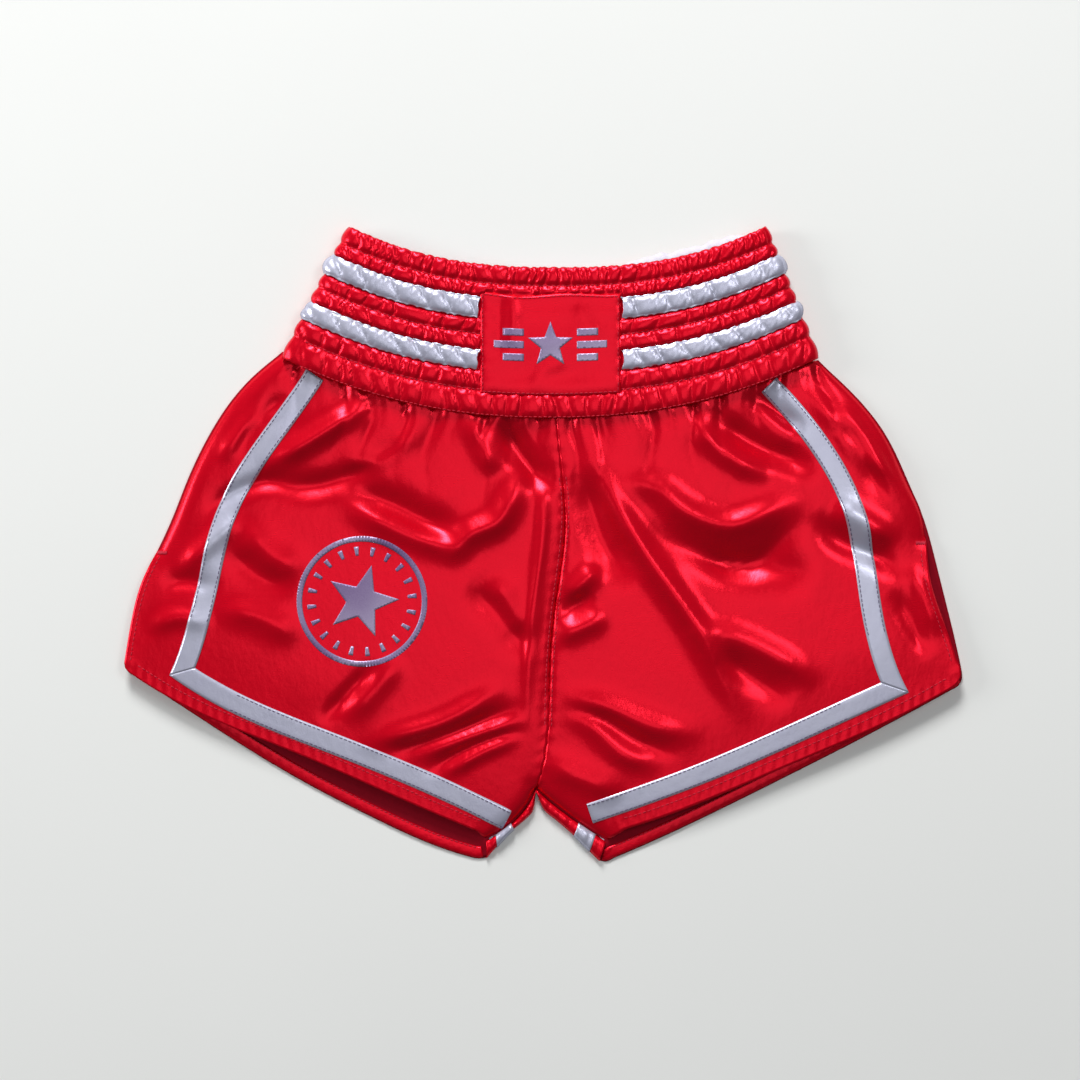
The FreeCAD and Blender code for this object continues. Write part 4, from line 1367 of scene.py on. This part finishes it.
class SHORTS_OT_stitches(bpy.types.Operator):
    """Sew every row of stitches, one small stitch at a time"""
    bl_idname = "shorts.stitches"
    bl_label = "Stitches"

    def execute(self, context):
        size = context.scene.shorts_thread
        rng = np.random.default_rng(5)
        ply = context.scene.shorts_cloth.ply
        proud = 0.3 * size.width
        rows = []
        for hand in SIDES:
            rows += [
                (f"tape_stitching_front_{hand}", "dark thread", "pale_thread",
                 [f"side_tape_front_{hand}", f"hem_tape_front_{hand}"], proud),
                (f"hem_stitching_front_{hand}", "red thread", "red_thread", [f"front_{hand}"], proud),
                (f"hem_stitching_back_{hand}", "red thread", "red_thread", [f"back_{hand}"],
                 0.65 * MM + proud)]
        rows += [
            ("centre_stitching_front", "red thread", "red_thread", ["front_right", "front_left"], proud),
            ("centre_stitching_back", "red thread", "red_thread", ["back_right", "back_left"], -ply - proud),
            ("channel_stitching_front", "red thread", "red_thread", ["band_front"], 0.25 * size.width),
            ("channel_stitching_back", "red thread", "red_thread", ["band_back"], 0.25 * size.width),
            ("waist_seam_stitching", "red thread", "red_thread", ["band_front"], proud)]
        for node, material, slot, names, lift in rows:
            paths = []
            for ring in rings(node):
                run = middle_run(ring)
                paths += row_of_stitches(run, sheet_under(run, names), size, lift, rng)
            points, faces = stitch_mesh(paths, size.width)
            piece_from(context, f"{node}_thread", points, faces, material, [node])
        self.patch_border(context, size, rng)
        return {"FINISHED"}

    @staticmethod
    def patch_border(context, size, rng):
        ring = rings("patch_stitching")[0]
        fine, marks = sharpest(ring)
        paths = []
        for run in cut_ring(fine, marks):
            paths += row_of_stitches(run, cloths["patch"], size, 0.3 * size.width, rng)
        points, faces = stitch_mesh(paths, size.width)
        piece_from(context, "patch_stitching_thread", points, faces, "red thread",
                   ["patch_stitching"])


class SHORTS_OT_bar_tacks(bpy.types.Operator):
    """Sew the dense bar of stitches at the top of each side slit"""
    bl_idname = "shorts.bar_tacks"
    bl_label = "Bar tacks"

    def execute(self, context):
        size = context.scene.shorts_thread
        for hand in SIDES:
            node = f"bar_tack_{hand}"
            low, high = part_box(node)
            under = cloths[f"front_{hand}"]
            paths = []
            count = 14
            for i in range(count):
                x = low.x + (high.x - low.x) * (i + 0.5) / count
                lean = 0.25 * MM * (1 if i % 2 else -1)
                y = np.linspace(low.y - 0.5 * MM, high.y + 0.5 * MM, 5)
                plan = np.column_stack([x + lean * np.linspace(-1, 1, 5), y])
                path = under.lay(plan, 0.35 * MM)
                paths.append((path, np.array([0.0, 0.0, 1.0])))
            points, faces = stitch_mesh(paths, size.width)
            piece_from(context, f"{node}_thread", points, faces, "red thread", [node])
        return {"FINISHED"}


# ------------------------------------------------------------------ stage
class SHORTS_OT_stage(bpy.types.Operator):
    """Set the floor, the lights and the camera that looks straight down"""
    bl_idname = "shorts.stage"
    bl_label = "Stage"

    def execute(self, context):
        scene = context.scene
        scene.view_settings.view_transform = "Standard"
        mesh = bpy.data.meshes.new("floor")
        reach = 6.0
        mesh.from_pydata([(x * reach, y * reach, 0) for x, y in ((-1, -1), (1, -1), (1, 1), (-1, 1))], [],
                         [(0, 1, 2, 3)])
        mesh.materials.append(finishes(context)["pale floor"])
        floor = bpy.data.objects.new("floor", mesh)
        scene.collection.objects.link(floor)
        low, high = Vector(CAD_BOX[0]), Vector(CAD_BOX[1])
        middle = (low + high) / 2
        camera = bpy.data.cameras.new("camera")
        camera.lens = 85.0
        seen = (high.x - low.x) * 1.2865
        eye = bpy.data.objects.new("camera", camera)
        away = seen * camera.lens / camera.sensor_width
        eye.location = (middle.x - 0.0029, middle.y + 0.0036, high.z * 0.5 + away)
        scene.collection.objects.link(eye)
        scene.camera = eye
        self.light(scene, "key", (-0.5, 3.4, 1.9), 1.1, 165.0)
        self.light(scene, "side", (-2.6, 0.5, 1.0), 0.9, 34.0)
        self.light(scene, "window", (1.25, 1.0, 2.2), 0.8, 13.0)
        self.light(scene, "top", (0.1, 0.1, 2.6), 1.4, 7.0)
        world = bpy.data.worlds.new("room")
        world.use_nodes = True
        world.node_tree.nodes["Background"].inputs[0].default_value = (0.93, 0.95, 1.0, 1)
        world.node_tree.nodes["Background"].inputs[1].default_value = 0.16
        scene.world = world
        return {"FINISHED"}

    @staticmethod
    def light(scene, name, place, size, power):
        data = bpy.data.lights.new(name, "AREA")
        data.size = size
        data.energy = power
        lamp = bpy.data.objects.new(name, data)
        lamp.location = place
        lamp.rotation_euler = (-Vector(place)).to_track_quat("-Z", "Y").to_euler()
        scene.collection.objects.link(lamp)


OPERATORS = (SHORTS_OT_stage, SHORTS_OT_front, SHORTS_OT_back, SHORTS_OT_waistband, SHORTS_OT_lining,
             SHORTS_OT_elastics, SHORTS_OT_stripes, SHORTS_OT_patch, SHORTS_OT_tapes, SHORTS_OT_prints,
             SHORTS_OT_stitches, SHORTS_OT_bar_tacks)


class SHORTS_PT_panel(bpy.types.Panel):
    """Everything that the shorts are made of"""
    bl_idname = "SHORTS_PT_panel"
    bl_label = "Boxing shorts"
    bl_space_type = "VIEW_3D"
    bl_region_type = "UI"
    bl_category = "Shorts"

    def draw(self, context):
        for group in (context.scene.shorts_cloth, context.scene.shorts_thread, context.scene.shorts_colours):
            box = self.layout.box()
            for name in group.__annotations__:
                box.prop(group, name)
        for operator in OPERATORS:
            self.layout.operator(operator.bl_idname)


CLASSES = (ShortsCloth, ShortsThread, ShortsColours, *OPERATORS, SHORTS_PT_panel)


def register():
    for made in CLASSES:
        bpy.utils.register_class(made)
    bpy.types.Scene.shorts_cloth = bpy.props.PointerProperty(type=ShortsCloth)
    bpy.types.Scene.shorts_thread = bpy.props.PointerProperty(type=ShortsThread)
    bpy.types.Scene.shorts_colours = bpy.props.PointerProperty(type=ShortsColours)


def unregister():
    del bpy.types.Scene.shorts_colours
    del bpy.types.Scene.shorts_thread
    del bpy.types.Scene.shorts_cloth
    for made in reversed(CLASSES):
        bpy.utils.unregister_class(made)


def main():
    register()
    for operator in OPERATORS:
        group, name = operator.bl_idname.split(".")
        getattr(getattr(bpy.ops, group), name)()


if __name__ == "__main__":
    main()
